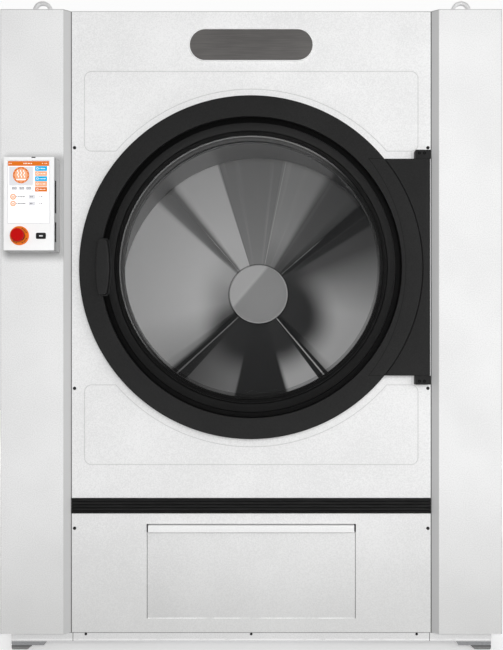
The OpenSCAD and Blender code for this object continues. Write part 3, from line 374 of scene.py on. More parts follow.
@finish
def panel_paint():
    """The cabinet's paint with painted shade and light: darker chamfers and edges, a soft shadow round the
    control box, darker box sides, a lighter box face, a dark top edge and dark gaps.
    """
    made, dusty_shaded, x, y, height = dust_shaded_white("panel_paint")
    # Painted shade: the pillars' chamfers are darker, the right one more than the left.
    fold = made.band(y, PILLAR_FRONT + 0.0003, PILLAR_FRONT + 0.0015)
    fold = fold * made.band(abs(x), SEAM_X + 0.001, SEAM_X + 0.002)
    fold = fold * made.band(abs(x), SEAM_X + CHAMFER_W - 0.0006, SEAM_X + CHAMFER_W, 1.0, 0.0)
    right = made.band(x, -0.1, 0.1)
    folded = made.mix(fold * 0.9, dusty_shaded, made.mix(right, tone(193), tone(182)))
    # Painted shade: a dark line along the cabinet's outer front edges.
    rim = made.band(abs(x), HALF_W - 0.0022, HALF_W - 0.0006) * (y < PILLAR_FRONT + 0.0008)
    lit_and_shaded = made.mix(rim * 0.7, folded, tone(120, 120, 119))
    # Painted shadow: a soft dark halo on the pillar round the control box.
    off_x = past_edge(made, x, BOX_LOW[0], BOX_HIGH[0])
    off_z = past_edge(made, height, BOX_LOW[2], BOX_HIGH[2])
    away = made.math("SQRT", off_x * off_x + off_z * off_z)
    on_pillar = made.band(y, PILLAR_FRONT - 0.001, PILLAR_FRONT - 0.0005) * (y < PILLAR_FRONT + 0.002)
    box_shadow = made.band(away, 0.004, 0.036, 1.0, 0.0) * on_pillar
    lit_and_shaded = made.mix(box_shadow * 0.72, lit_and_shaded, tone(150))
    # Painted shade: the control box's sides are darker, most near the box's front edge.
    wall = made.band(y, BOX_LOW[1] + 0.0002, BOX_LOW[1] + 0.001)
    wall = wall * made.band(y, BOX_LOW[1] + 0.004, BOX_LOW[1] + 0.03, 1.0, 0.3) * (y < PILLAR_FRONT - 0.0005)
    lit_and_shaded = made.mix(wall * 0.62, lit_and_shaded, tone(112))
    # Painted highlight: the front of the control box is made lighter.
    lit_and_shaded = made.mix((y < BOX_LOW[1] + 0.0009) * 0.85, lit_and_shaded, tone(251))
    # Painted shade: a dark line along the top edge of the front.
    top_edge_shade = made.band(height, ROOF_Z - 0.0034, ROOF_Z - 0.0016) * (y < PANEL_BACK + 0.001)
    lit_and_shaded = made.mix(top_edge_shade * 0.5, lit_and_shaded, tone(128))
    # Painted shade: the sheet edges in the gaps between the front panels are dark.
    gap_shade = made.band(y, PANEL_FRONT + 0.0003, PANEL_FRONT + 0.0014) * (y < PANEL_BACK + 0.02)
    groove = made.band(abs(y - PANEL_FRONT - 0.0012), 0.0001, 0.0002, 1.0, 0.0)
    gap_shade = gap_shade * (abs(x) < SEAM_X + 0.0032) * (1 - groove * 0.7)
    made.feed("Base Color", made.mix(gap_shade * 0.85, lit_and_shaded, tone(30)))
    return made


@finish
def drawer_paint():
    """The drawer front's paint: its pull lip carries a painted highlight, and a painted shadow lies as a dark
    line on the sheet below it.
    """
    made, dusty_shaded, _, y, height = dust_shaded_white("drawer_paint")
    # Painted highlight: the pull lip is lighter.
    lip = y < PANEL_FRONT - 0.0015
    lip_highlight = made.mix(lip * 0.5, dusty_shaded, tone(250))
    # Painted shadow: a dark line on the sheet just below the lip.
    under = made.band(height, LIP_Z - 0.0022, LIP_Z - 0.0014) * (height < LIP_Z + 0.0004)
    made.feed("Base Color", made.mix(under * 0.75, lip_highlight, tone(70)))
    return made


@finish
def bracket_screw():
    """Deep black socket screws of the hinge brackets."""
    made = Finish("bracket_screw", specular_ior_level=0.02)
    worn = made.band(made.noise(900, 4, 0.7), 0.55, 0.7)
    made.feed("Base Color", made.mix(worn, tone(2), tone(8)))
    made.feed("Roughness", worn * 0.1 + 0.6)
    made.bump(made.noise(1600, 2), 0.00004)
    return made


@finish
def door_paint():
    """Dark paint of the door, with the seam where the hinge plate lies on the ring and painted shade on its
    rolled edge.
    """
    dark = colour("door_dark")
    made = powder_coat("door_paint", [c * 1.12 for c in dark], [c * 0.86 for c in dark], 0.5, 0.0001, 0.12)
    _, y, _ = made.axes()
    x, up, radius = made.from_drum()
    rise = abs(up)
    bowed = abs(radius - PLATE_SEAM_R - rise * rise * PLATE_SEAM_BOW)
    arc = made.band(bowed, 0.0005, 0.0012, 1.0, 0.0) * (rise < PLATE_SEAM_HALF)
    ends = made.band(abs(rise - PLATE_SEAM_HALF), 0.0005, 0.0012, 1.0, 0.0) * (radius > PLATE_END_R)
    # Painted shade: the rolled outer edge of the ring is darker.
    edge = made.band(radius, DOOR_R - 0.0036, DOOR_R - 0.0012) * (radius < DOOR_R + 0.001)
    seam = (arc + ends) * (x > 0.2) * (radius < DOOR_R) * (y < DOOR_FRONT + 0.001)
    made.feed("Base Color", made.mix(made.math("MAXIMUM", seam, edge) * 0.75, made.painted(), tone(12)))
    return made


@finish
def inner_ring_paint():
    """The inner ring's paint, with painted shade in the groove next to the outer ring and a painted dark line
    inside it.
    """
    dark = colour("door_dark")
    made = powder_coat("inner_ring_paint", [c * 0.5 for c in dark], [c * 0.34 for c in dark], 0.4, shine=0.08)
    _, _, radius = made.from_drum()
    # Painted shade in the groove and along the line where the cone meets the lip.
    groove = made.band(radius, GROOVE_R, GROOVE_R + 0.0015)
    line = made.band(abs(radius - RING_LINE_R), 0.0016, 0.0026, 1.0, 0.0)
    made.feed("Base Color", made.mix(made.math("MAXIMUM", groove, line) * 0.85, made.painted(), tone(2)))
    return made


@finish
def handle_paint():
    """The grip's paint, worn glossy in patches."""
    dark = colour("door_dark")
    made = powder_coat("handle_paint", [c * 1.12 for c in dark], [c * 0.94 for c in dark], 0.42, shine=0.16)
    worn = made.band(made.noise(55, 5, 0.65), 0.62, 0.8)
    made.feed("Coat Weight", worn * 0.2)
    return made


def bloomed(name, dark, light, roughness, shine):
    """Rubber with a paler bloom in patches."""
    made = Finish(name, specular_ior_level=shine)
    bloom = made.band(made.noise(60, 5, 0.7), 0.4, 0.75)
    made.feed("Base Color", made.mix(bloom, dark, light))
    made.feed("Roughness", bloom * 0.15 + roughness)
    made.bump(made.noise(900, 3), 0.0001)
    return made


@finish
def rubber():
    """Black rubber with a grey bloom."""
    return bloomed("rubber", tone(22), tone(36, 36, 37), 0.55, 0.3)


@finish
def seal_rubber():
    """Soft black rubber of the sealing lips."""
    return bloomed("seal_rubber", tone(6), tone(14), 0.6, 0.12)


@finish
def glowing_pale_seal():
    """White sealing lip under the drawer front, soiled here and there, which glows a little as a painted
    highlight of the bottom edge.
    """
    made = Finish("glowing_pale_seal", specular_ior_level=0.3, emission_strength=0.3)
    soiled = made.band(made.noise(18, 4, 0.6, (1, 0.2, 0.2)), 0.42, 0.66)
    shade = made.mix(soiled, tone(253), tone(206))
    made.feed("Base Color", shade)
    made.feed("Emission Color", shade)
    made.feed("Roughness", soiled * 0.2 + 0.4)
    return made


@finish
def strip_rubber():
    """Black rubber of the bumper, streaked along its length."""
    made = Finish("strip_rubber", specular_ior_level=0.15)
    along = made.noise(14, 5, 0.7, (1, 20, 20))
    made.feed("Base Color", made.mix(made.band(along, 0.35, 0.7), tone(20), tone(33)))
    made.feed("Roughness", along * 0.2 + 0.36)
    made.bump(made.noise(700, 2), 0.00006)
    return made


def brushed(name, light, dark, grain, roughness=0.3, metallic=1.0):
    """Brushed metal: streaks along the axis whose grain factor is small."""
    made = Finish(name)
    streaks = made.noise(420, 4, 0.6, grain)
    clouds = made.noise(5, 3)
    made.feed("Base Color", made.mix(made.band(streaks * 0.6 + clouds * 0.4, 0.3, 0.7), dark, light))
    made.feed("Metallic", metallic)
    made.feed("Roughness", streaks * 0.18 + roughness)
    made.bump(streaks, 0.00008)
    return made


@finish
def sheet_steel():
    """Sheet steel brushed along the depth."""
    return brushed("sheet_steel", tone(190, 191, 193), tone(158, 159, 161), (1, 0.04, 1))


@finish
def machined_steel():
    """Turned and ground steel."""
    return brushed("machined_steel", tone(176, 177, 180), tone(138, 139, 142), (0.05, 1, 0.05), 0.26)


@finish
def polished_rim_sheen():
    """The bright rim of the badge, its polish painted as a near-white sheen."""
    return brushed("polished_rim_sheen", tone(254), tone(238), (0.1, 1, 1), 0.3, 0.15)


@finish
def badge_face():
    """The badge's face, brushed along its length."""
    return brushed("badge_face", tone(116, 114, 112), tone(98, 96, 95), (0.03, 1, 1), 0.36, 0.4)


@finish
def zinc_sheet():
    """Hot-dip zinc with its crystal pattern."""
    made = Finish("zinc_sheet", metallic=0.7)
    cells = made.node("TexVoronoi", {"feature": "F1"}, {"Vector": made.place(), "Scale": 55.0})
    crystal = Value(made, made.node("SeparateColor", (), {0: cells.outputs["Color"]}).outputs[0])
    cloud = made.noise(9, 4)
    blend = crystal * 0.55 + cloud * 0.45
    made.feed("Base Color", made.mix(blend, tone(172, 175, 179), tone(208, 211, 214)))
    made.feed("Roughness", crystal * 0.16 + 0.34)
    made.bump(crystal + made.noise(500, 2) * 0.3, 0.00004)
    return made


@finish
def bright_zinc():
    """Bright zinc on forged steel."""
    return brushed("bright_zinc", tone(244), tone(212), (1, 1, 1), 0.36, 0.25)


@finish
def base_paint():
    """Paint of the base beams: a painted shadow as a dark line under the panels and a patchy painted
    highlight along the lower edge.
    """
    made = powder_coat("base_paint", tone(226), tone(212), 0.5)
    _, _, height = made.axes()
    # Painted shadow: a dark line on the beam under the panels.
    joint = made.band(height, SKIRT_Z - 0.0032, SKIRT_Z - 0.0018)
    # Painted highlight: a patchy light line along the beam's lower edge.
    worn = made.band(abs(height - BEAM_HIGHLIGHT_Z), 0.0008, 0.0018, 1.0, 0.0)
    worn = worn * made.band(made.noise(40, 4), 0.3, 0.5)
    made.feed("Base Color", made.mix(joint * 0.8, made.mix(worn * 0.8, made.painted(), tone(253)), tone(60)))
    return made


@finish
def pad_steel():
    """The feet's lower pads: dull steel, darker towards its top as a painted shade under the foot plate."""
    made = brushed("pad_steel", tone(150), tone(120), (0.3, 1, 1), 0.55, 0.2)
    _, _, height = made.axes()
    # Painted shade: the pad darkens towards its top.
    made.feed("Base Color", made.mix(made.band(height, 0.004, 0.013, 0.0, 0.75), made.painted(), tone(78)))
    return made


@finish
def foot_steel():
    """Steel of the feet with specks of rust."""
    made = brushed("foot_steel", tone(172, 173, 175), tone(136, 137, 139), (0.3, 1, 1), 0.5, 0.3)
    rust = made.band(made.noise(70, 6, 0.75), 0.63, 0.72)
    made.feed("Base Color", made.mix(rust * 0.35, made.painted(), tone(104, 82, 64)))
    return made


@finish
def black_screw():
    """Blackened screw heads, worn at their edges."""
    made = Finish("black_screw", specular_ior_level=0.5)
    worn = made.band(made.noise(900, 4, 0.7), 0.55, 0.7)
    made.feed("Base Color", made.mix(worn, tone(10), tone(30)))
    made.feed("Metallic", worn * 0.3 + 0.1)
    made.feed("Roughness", worn * 0.1 + 0.36)
    made.bump(made.noise(1600, 2), 0.00004)
    return made


def moulded(name, light, roughness=0.3, texture=700, depth=0.00003, shine=0.5):
    """Moulded plastic with a fine spark texture and faint handling marks."""
    made = Finish(name, specular_ior_level=shine)
    marks = made.band(made.noise(38, 6, 0.7), 0.5, 0.75)
    made.feed("Base Color", made.mix(marks * 0.5, light, [c * 0.86 for c in light]))
    made.feed("Roughness", marks * 0.12 + roughness)
    made.bump(made.noise(texture, 2), depth)
    return made


@finish
def stop_plastic():
    """Red plastic of the stop's head."""
    return moulded("stop_plastic", colour("stop_red"), 0.5, shine=0.2)


@finish
def disc_plastic():
    """Orange plastic of the stop's disc."""
    return moulded("disc_plastic", colour("disc_orange"), 0.42)


@finish
def black_plastic():
    """Black moulded plastic."""
    return moulded("black_plastic", tone(14), 0.46)


@finish
def vent_shade_mesh():
    """Dark woven mesh in the vents, a dark sheet that stands for the shade inside the control box."""
    made = Finish("vent_shade_mesh", specular_ior_level=0.1)
    _, y, z = made.axes()
    weave = made.math("PINGPONG", y / 0.0008, 0.5) + made.math("PINGPONG", z / 0.0008, 0.5)
    made.feed("Base Color", made.mix(weave, tone(22), tone(46)))
    made.feed("Roughness", weave * 0.2 + 0.7)
    made.bump(weave, 0.0002)
    return made


@finish
def disc_ink():
    """Dark ink of the marks on the disc."""
    return moulded("disc_ink", tone(30, 26, 34), 0.5)


def lit_ink(name, light, light_out=0.12):
    """A patch of the lit screen: its colour, a faint glow and the pixel grid behind the glass."""
    made = Finish(name, specular_ior_level=0.5, emission_strength=light_out)
    x, _, z = made.axes()
    pitch = 0.00045
    grid = made.math("PINGPONG", x / pitch, 0.5) + made.math("PINGPONG", z / pitch, 0.5)
    inked = made.mix(grid * 0.08, light, [c * 0.7 for c in light])
    made.feed("Base Color", inked)
    made.feed("Emission Color", inked)
    made.feed("Roughness", made.noise(20, 3) * 0.1 + 0.12)
    return made


@finish
def screen_white():
    """White ground of the screen."""
    return lit_ink("screen_white", tone(252), 0.24)


@finish
def screen_grey():
    """Grey fields of the screen."""
    return lit_ink("screen_grey", tone(222, 222, 226))


@finish
def screen_orange():
    """Strong tiles of the screen."""
    return lit_ink("screen_orange", colour("screen_orange"))


@finish
def screen_peach():
    """Soft tiles of the screen."""
    return lit_ink("screen_peach", colour("screen_peach"))


@finish
def screen_blue():
    """Blue tiles of the screen."""
    return lit_ink("screen_blue", colour("screen_blue"))


@finish
def screen_dark():
    """Dark strokes of the screen."""
    return lit_ink("screen_dark", tone(92, 92, 98))


@finish
def drum_wall():
    """Stainless drum sheet: rolled grain round the drum, staggered holes on its front stretch, and painted
    shade on a sector of the wall and on the front lip.
    """
    made = Finish("drum_wall", specular_ior_level=0.5)
    sizes = bpy.context.scene.dryer_sizes
    x, y, z = made.axes()
    angle = made.math("ARCTAN2", x, z - DRUM_Z)
    row_share, above_zero = 0.866, 2000
    row = y / (sizes.hole_pitch * row_share)
    odd = made.math("MODULO", made.math("FLOOR", row) + above_zero, 2.0)
    across = made.math("FRACT", angle * DRUM_R / sizes.hole_pitch + odd * 0.5 + above_zero) - 0.5
    along = (made.math("FRACT", row + above_zero) - 0.5) * row_share
    apart = made.math("SQRT", across * across + along * along) * sizes.hole_pitch
    drilled = made.band(y, HOLES_END - 0.002, HOLES_END, 1.0, 0.0)
    hole = made.band(apart, sizes.hole_size * 0.42, sizes.hole_size * 0.54, 1.0, 0.0) * drilled
    streaks = made.noise(260, 4, 0.6, (0.2, 4, 0.2))
    steel = made.mix(made.band(streaks, 0.3, 0.7), tone(150), tone(166))
    # Painted shade: a dark sector of the wall from about one to five o'clock.
    hour = angle * (12 / math.tau)
    shaded = made.band(hour, 1.04, 1.12) * made.band(hour, 4.6, 5.6, 1.0, 0.0)
    steel = made.mix(shaded * 0.8, steel, tone(48))
    # Painted shade: the rolled front lip is darker.
    steel = made.mix((y < WALL_LIP_Y) * 0.85, steel, tone(62))
    made.feed("Base Color", made.mix(hole, steel, tone(16)))
    made.feed("Metallic", 0.4 - hole * 0.35)
    made.feed("Roughness", streaks * 0.15 + hole * 0.3 + 0.36)
    made.bump(1 - hole, 0.0012, 0.8)
    return made


# The rear wall's colour holds painted reflections in fans that meet at the hub, as its polished sheet would
# show them. Each has the place on the clock face in hours where it starts, the width in hours of its blend
# with the one before, and its tones beside the hub and at the rim.
REFLECTION_FANS = [
    (0.37, 0.02, 88, 106), (1.02, 0.12, 52, 63), (1.61, 0.02, 42, 36), (1.96, 0.02, 36, 60),
    (2.8, 1.2, 34, 139), (5.44, 0.02, 30, 31), (6.45, 0.02, 32, 90), (6.95, 0.7, 34, 66),
    (7.58, 0.1, 36, 117), (8.1, 0.9, 100, 144), (9.3, 1.2, 121, 142), (10.41, 0.02, 107, 93),
    (10.73, 0.02, 134, 140), (11.42, 0.02, 94, 94),
]

# Share of a quarter turn that sets the four ribs between the clock's quarters, and how far the painted light
# lines
# of the lower ribs lie beside the crests: per metre of radius, and a fixed part in metres.
RIB_PHASE = 0.953
LINE_SLOPE, LINE_SHIFT = 0.0146, 0.0073

# Fine painted highlight and shade lines in the rear wall's reflections: place in hours, half width in metres,
# tone
PAINTED_LINES = [
    (0.39, 0.0012, 150), (0.34, 0.001, 66), (1.79, 0.001, 62), (11.44, 0.0012, 60), (11.4, 0.001, 158),
]


def reflection_fan_stops(rim):
    """Colour stops round the clock face: two at each border, as far apart as the fans blend."""
    stops = []
    tones = [(REFLECTION_FANS[i - 1][2 + rim], REFLECTION_FANS[i][2 + rim]) for i in range(len(REFLECTION_FANS))]
    for (start, blend, _, _), (before, after) in zip(REFLECTION_FANS, tones):
        stops += [((start - blend / 2) / 12, tone(before)), ((start + blend / 2) / 12, tone(after))]
    return stops


@finish
def drum_end():
    """Polished rear wall of the drum with painted reflections: broad fans from the hub outwards with fine
    radial streaks.

    Each of the two lower ribs has a painted dark wedge of shade, soft towards the side, with a painted light
    line along it.
    """
    made = Finish("drum_end", specular_ior_level=0.3, metallic=0.1)
    x, rise, radius = made.from_drum()
    turn = made.math("FRACT", made.math("ARCTAN2", x, rise) / math.tau + 1)
    streak_place = made.node("CombineXYZ", (), {0: turn * 60, 1: radius * 0.4})
    streaks = made.noise(1.5, 4, 0.6, None, streak_place.outputs[0])
    hour = turn + (streaks - 0.5) * 0.0008
    # Painted reflections: the fans' tones run from those beside the hub to those at the rim, further out on
    # the lower side.
    low_side = made.band(abs(turn * 12 - 5.4), 1.2, 3.4, 1.0, 0.0)
    spread = made.band(radius - low_side * 0.13, 0.14, 0.31)
    fans = made.mix(spread, made.ramp(hour, reflection_fan_stops(0)), made.ramp(hour, reflection_fan_stops(1)))
    upper = made.band(abs(made.math("FRACT", turn + 0.5) * 12 - 6.05), 0.1, 1.5, 1.0, 0.0)
    # Painted sheen: lighter radial streaks near the top.
    shown = made.mix(made.band(streaks, 0.5, 0.68) * upper * 0.3, fans, tone(140))
    # Painted light and dark lines across the fans.
    for place, half, light in PAINTED_LINES:
        off = abs(turn * 12 - place) * radius * (math.tau / 12)
        shown = made.mix(made.band(off, half * 0.4, half, 0.7, 0.0), shown, tone(light))
    # Painted shade and highlight on the lower ribs: a dark wedge, a soft dark flank and a light line.
    quarter = made.math("FRACT", turn * 4 + RIB_PHASE) - 0.5
    below = made.band(rise, -0.01, 0.01, 1.0, 0.0)
    across = quarter * radius * (math.tau / 4)
    left = x < 0
    inward = across * ((x > 0) * 2 - 1) - (radius * LINE_SLOPE + LINE_SHIFT) * (left + 1)
    outer_side = inward + radius * 0.045
    inner_side = inward - radius * (left * 0.03 + 0.06)
    wedge = made.band(outer_side, -0.001, 0.001) * made.band(inner_side, -0.001, 0.001, 1.0, 0.0) * below
    shown = made.mix(wedge, shown, tone(30))
    flank = made.band(outer_side, -0.022, 0.0) * (outer_side < 0.0) * below
    shown = made.mix(flank * (left * 0.65 + 0.15), shown, tone(34))
    line = made.band(abs(inward) - radius * 0.0048, 0.0004, 0.0018, 1.0, 0.0) * below
    shown = made.mix(line * (0.8 - left * 0.58), shown, tone(176))
    # Painted highlight: a faint light line along the inner part of the upper ribs' crests.
    crest = made.band(abs(across) - radius * 0.004, 0.0004, 0.0016, 1.0, 0.0)
    faint = (1 - below) * made.band(radius, 0.3, 0.42, 0.35, 0.0)
    shown = made.mix(crest * faint, shown, tone(176))
    # Painted shadow: a dark ring round the hub cap.
    shown = made.mix(made.band(radius, HUB_R + 0.002, HUB_R + 0.01, 0.6, 0.0), shown, tone(14))
    # Painted highlight: a light line along the rim of the rear wall, mostly below.
    rim = made.band(radius, REAR_RIM_R, REAR_RIM_R + 0.0014) * made.band(rise, -0.05, 0.1, 0.6, 0.0)
    made.feed("Base Color", made.mix(rim, shown, tone(200)))
    made.feed("Roughness", streaks * 0.16 + 0.42)
    made.bump(streaks, 0.0001)
    return made


@finish
def hub_face():
    """Spun hub cap with painted reflections: light at its upper left as far as a bright diagonal glint, a
    light edge mostly at its lower right, and fine turning marks.
    """
    made = Finish("hub_face", specular_ior_level=0.5, metallic=0.4)
    x, rise, radius = made.from_drum()
    rings = made.math("SINE", radius * 5200)
    diagonal_off = 0.056
    # Painted reflections: a lighter upper left half split off by a glinting diagonal.
    side = rise * 0.65 - x * 0.76 - diagonal_off
    glint = made.band(abs(side), 0.0, 0.012, 0.14, 0.0)
    reflected_halves = made.mix(made.band(side, -0.016, 0.008), tone(122), tone(150))
    turned = made.mix(glint, reflected_halves, tone(190))
    # Painted highlight: a light band near the cap's edge, strongest at the lower right.
    edge = made.band(radius, HUB_R - 0.007, HUB_R - 0.003) * made.band(side, -0.08, 0.02, 0.45, 0.1)
    made.feed("Base Color", made.mix(edge, turned, tone(200)))
    made.feed("Roughness", rings * 0.03 + made.noise(20, 4) * 0.15 + 0.4)
    made.bump(rings, 0.00002)
    return made


@finish
def door_glass():
    """Clear tempered glass: it lets light through and shows gloss only."""
    made = Finish("door_glass", base_color=tone(40, 42, 44), specular_ior_level=0.5)
    smears = made.band(made.noise(6, 5, 0.6, (1, 1, 2.5)), 0.5, 0.8)
    made.feed("Roughness", smears * 0.06 + 0.02)
    gloss = Value(made, made.node("Fresnel", (), {"IOR": 1.45}).outputs[0])
    made.see_through(tone(243), gloss * 0.5 + smears * 0.006)
    return made


@finish
def lit_ground_bevel():
    """The glass bevel: milky ground glass with a painted light outer line and painted sheen at its upper
    left, and painted shade at its lower right.
    """
    made = Finish("lit_ground_bevel", specular_ior_level=0.08)
    lines = made.noise(300, 3)
    x, rise, radius = made.from_drum()
    # Painted light and shade: the bevel is lighter and more opaque at its upper left, darker at its lower
    # right.
    upper_left = made.band(rise - x, -0.1, 0.2)
    line = made.band(radius, BEVEL_LINE_R, BEVEL_LINE_R + 0.0012)
    ground = made.mix(upper_left, tone(22), tone(46))
    made.feed("Base Color", made.mix(line * upper_left, ground, tone(70)))
    made.feed("Roughness", lines * 0.1 + 0.4)
    made.see_through(tone(214), upper_left * 0.5 + line * 0.25 + lines * 0.06 + 0.12)
    return made


@finish
def circuit_board():
    """Green board with its tracks."""
    made = Finish("circuit_board", specular_ior_level=0.5)
    tracks = made.node("TexBrick", (), {"Vector": made.place(), "Scale": 160.0})
    mask = made.band(Value(made, tracks.outputs["Fac"]), 0.1, 0.9)
    made.feed("Base Color", made.mix(mask, tone(20, 74, 44), tone(62, 128, 84)))
    made.feed("Roughness", mask * 0.2 + 0.3)
    return made


@finish
def copper_fins():
    """Copper fins of the coil."""
    return brushed("copper_fins", tone(206, 138, 98), tone(150, 96, 66), (1, 1, 0.08), 0.32)


@finish
def motor_paint():
    """Blue-grey paint of the motors."""
    return powder_coat("motor_paint", tone(78, 88, 98), tone(62, 70, 80), 0.45, 0.0002)


@finish
def cast_iron():
    """Cast iron with its pits."""
    made = Finish("cast_iron", specular_ior_level=0.4)
    pits = made.noise(240, 5, 0.7)
    made.feed("Base Color", made.mix(made.band(pits, 0.35, 0.7), tone(74), tone(112)))
    made.feed("Metallic", made.band(pits, 0.5, 0.7, 0.35, 0.7))
    made.feed("Roughness", pits * 0.3 + 0.42)
    made.bump(pits, 0.0004)
    return made


@finish
def filter_mat():
    """Felted fibres of the air filter."""
    made = Finish("filter_mat", specular_ior_level=0.2, roughness=0.9)
    fibres = made.noise(420, 5, 0.7, (1, 1, 3))
    shade = made.mix(made.band(fibres, 0.35, 0.7), tone(150, 152, 150), tone(206, 208, 206))
    made.feed("Base Color", shade)
    made.bump(fibres, 0.002)
    return made


# Meshes

TURN_STEPS = 192
SHARP_DEG = 32


def placed(name, data):
    """A new object in the scene for a mesh, curve, light or camera."""
    made = bpy.data.objects.new(name, data)
    bpy.context.scene.collection.objects.link(made)
    return made


def mesh_object(name, vertices, faces):
    """A mesh from points and faces, as an object in the scene."""
    mesh = bpy.data.meshes.new(name)
    mesh.from_pydata(vertices, [], faces)
    mesh.validate()
    return placed(name, mesh)


def skin(rows, width, rows_close, width_closes):
    """Quads between rows of points that are all as wide, round to the first row or point where they close."""
    faces = []
    for i in range(rows if rows_close else rows - 1):
        near, far = i * width, (i + 1) % rows * width
        for j in range(width if width_closes else width - 1):
            step = (j + 1) % width
            faces.append((near + j, near + step, far + step, far + j))
    return faces


def tidy_normals(made, sharp_deg=SHARP_DEG):
    """Welds the points, turns the faces outwards and shades them smooth up to an angle."""
    mesh = made.data
    work = bmesh.new()
    work.from_mesh(mesh)
    bmesh.ops.remove_doubles(work, verts=work.verts, dist=1e-6)
    bmesh.ops.recalc_face_normals(work, faces=work.faces)
    work.to_mesh(mesh)
    work.free()
    mesh.shade_smooth()
    mesh.set_sharp_from_angle(angle=math.radians(sharp_deg))


def rounded(profile, closed=True, steps=4):
    """A profile of (radius, y, fillet) corners as points, each corner drawn as an arc."""
    points = []
    count = len(profile)
    for i, (radius, along, fillet) in enumerate(profile):
        here = Vector((radius, along))
        if fillet <= 0 or (not closed and i in (0, count - 1)):
            points.append(here)
            continue
        before = Vector(profile[i - 1][:2]) - here
        after = Vector(profile[(i + 1) % count][:2]) - here
        reach = min(fillet, before.length * 0.49, after.length * 0.49)
        start = here + before.normalized() * reach
        end = here + after.normalized() * reach
        for step in range(steps + 1):
            t = step / steps
            points.append(start * (1 - t) ** 2 + here * 2 * t * (1 - t) + end * t * t)
    return points


def lathe(name, profile, centre, closed=True, steps=TURN_STEPS):
    """Revolves a profile of (radius, y, fillet) about a Y axis. An open one may start or end on the axis."""
    points = rounded(profile, closed)
    vertices = []
    for i in range(steps):
        angle = math.radians(360 * i / steps)
        for point in points:
            place = (point[0] * math.cos(angle), point[1], point[0] * math.sin(angle))
            vertices.append([a + b for a, b in zip(place, centre)])
    made = mesh_object(name, vertices, skin(steps, len(points), True, closed))
    tidy_normals(made)
    return made


def circle_points(radius, centre=(0, 0), count=160, start=0.0, end=360.0):
    """Points round a circle, or along an arc of it with both ends."""
    whole = abs(end - start) == 360
    steps = count if whole else count - 1
    turns = [math.radians(start + (end - start) * i / steps) for i in range(count)]
    return [(centre[0] + radius * math.cos(t), centre[1] + radius * math.sin(t)) for t in turns]


def box_points(low, high, corner=0.0, steps=6):
    """Points round a rectangle with round corners."""
    square = [(low[0], low[1]), (high[0], low[1]), (high[0], high[1]), (low[0], high[1])]
    if corner <= 0:
        return square
    points = []
    for index, (x, z) in enumerate(square):
        inward = (1 if x == low[0] else -1, 1 if z == low[1] else -1)
        centre = (x + inward[0] * corner, z + inward[1] * corner)
        start = 180 + 90 * index
        points += circle_points(corner, centre, steps, start, start + 90)
    return points


def plate(name, outlines, back, front, edge=0.0, steps=3):
    """A flat plate in the X-Z plane from y = back to y = front with rounded edges.

    outlines holds the outer outline and then its holes.
    """
    thickness = abs(back - front)
    edge = min(edge, thickness * 0.49)
    curve = bpy.data.curves.new(name, "CURVE")
    curve.dimensions = "2D"
    curve.fill_mode = "BOTH"
    curve.extrude = thickness / 2 - edge
    curve.bevel_depth = edge
    curve.bevel_resolution = steps
    curve.offset = -edge
    for outline in outlines:
        spline = curve.splines.new("POLY")
        spline.points.add(len(outline) - 1)
        for point, (x, z) in zip(spline.points, outline):
            point.co = (x, z, 0, 1)
        spline.use_cyclic_u = True
    shaped = placed(name, curve)
    mesh = bpy.data.meshes.new_from_object(shaped.evaluated_get(bpy.context.evaluated_depsgraph_get()))
    bpy.data.objects.remove(shaped)
    middle = (back + front) / 2
    for vertex in mesh.vertices:
        x, z, along = vertex.co
        vertex.co = (x, middle - along, z)
    made = placed(name, mesh)
    tidy_normals(made)
    return made


def block(name, low, high, edge):
    """A box with rounded edges."""
    corners = [(x, y, z) for z in (low[2], high[2]) for y in (low[1], high[1]) for x in (low[0], high[0])]
    faces = [(0, 2, 3, 1), (4, 5, 7, 6), (0, 1, 5, 4), (2, 6, 7, 3), (0, 4, 6, 2), (1, 3, 7, 5)]
    made = mesh_object(name, corners, faces)
    work = bmesh.new()
    work.from_mesh(made.data)
    bmesh.ops.bevel(work, geom=work.edges, offset=edge, segments=2, affect="EDGES", profile=0.5)
    work.to_mesh(made.data)
    work.free()
    tidy_normals(made)
    return made


def drawn_along(name, profile, axis, start, end):
    """Extrudes a closed profile of two coordinates along X, Y or Z, with its ends closed."""
    others = [i for i in range(3) if i != axis]
    vertices = []
    for place in (start, end):
        for point in profile:
            vertex = [place] * 3
            vertex[others[0]], vertex[others[1]] = point
            vertices.append(vertex)
    count = len(profile)
    ends = [tuple(range(count)), tuple(range(count, 2 * count))]
    made = mesh_object(name, vertices, skin(2, count, False, True) + ends)
    tidy_normals(made)
    return made


def joined(name, pieces):
    """Several meshes as one object."""
    work = bmesh.new()
    for piece in pieces:
        work.from_mesh(piece.data)
        bpy.data.objects.remove(piece)
    mesh = bpy.data.meshes.new(name)
    work.to_mesh(mesh)
    work.free()
    mesh.shade_smooth()
    mesh.set_sharp_from_angle(angle=math.radians(SHARP_DEG))
    return placed(name, mesh)


def dress(made, name, material, body, nodes=()):
    """Names a new piece, gives it its finish and body, and hides the CAD nodes that it stands for."""
    made.name = name
    made.data.name = name
    made.data.materials.clear()
    made.data.materials.append(material)
    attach(made, body)
    if nodes:
        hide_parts(*nodes)
    return made


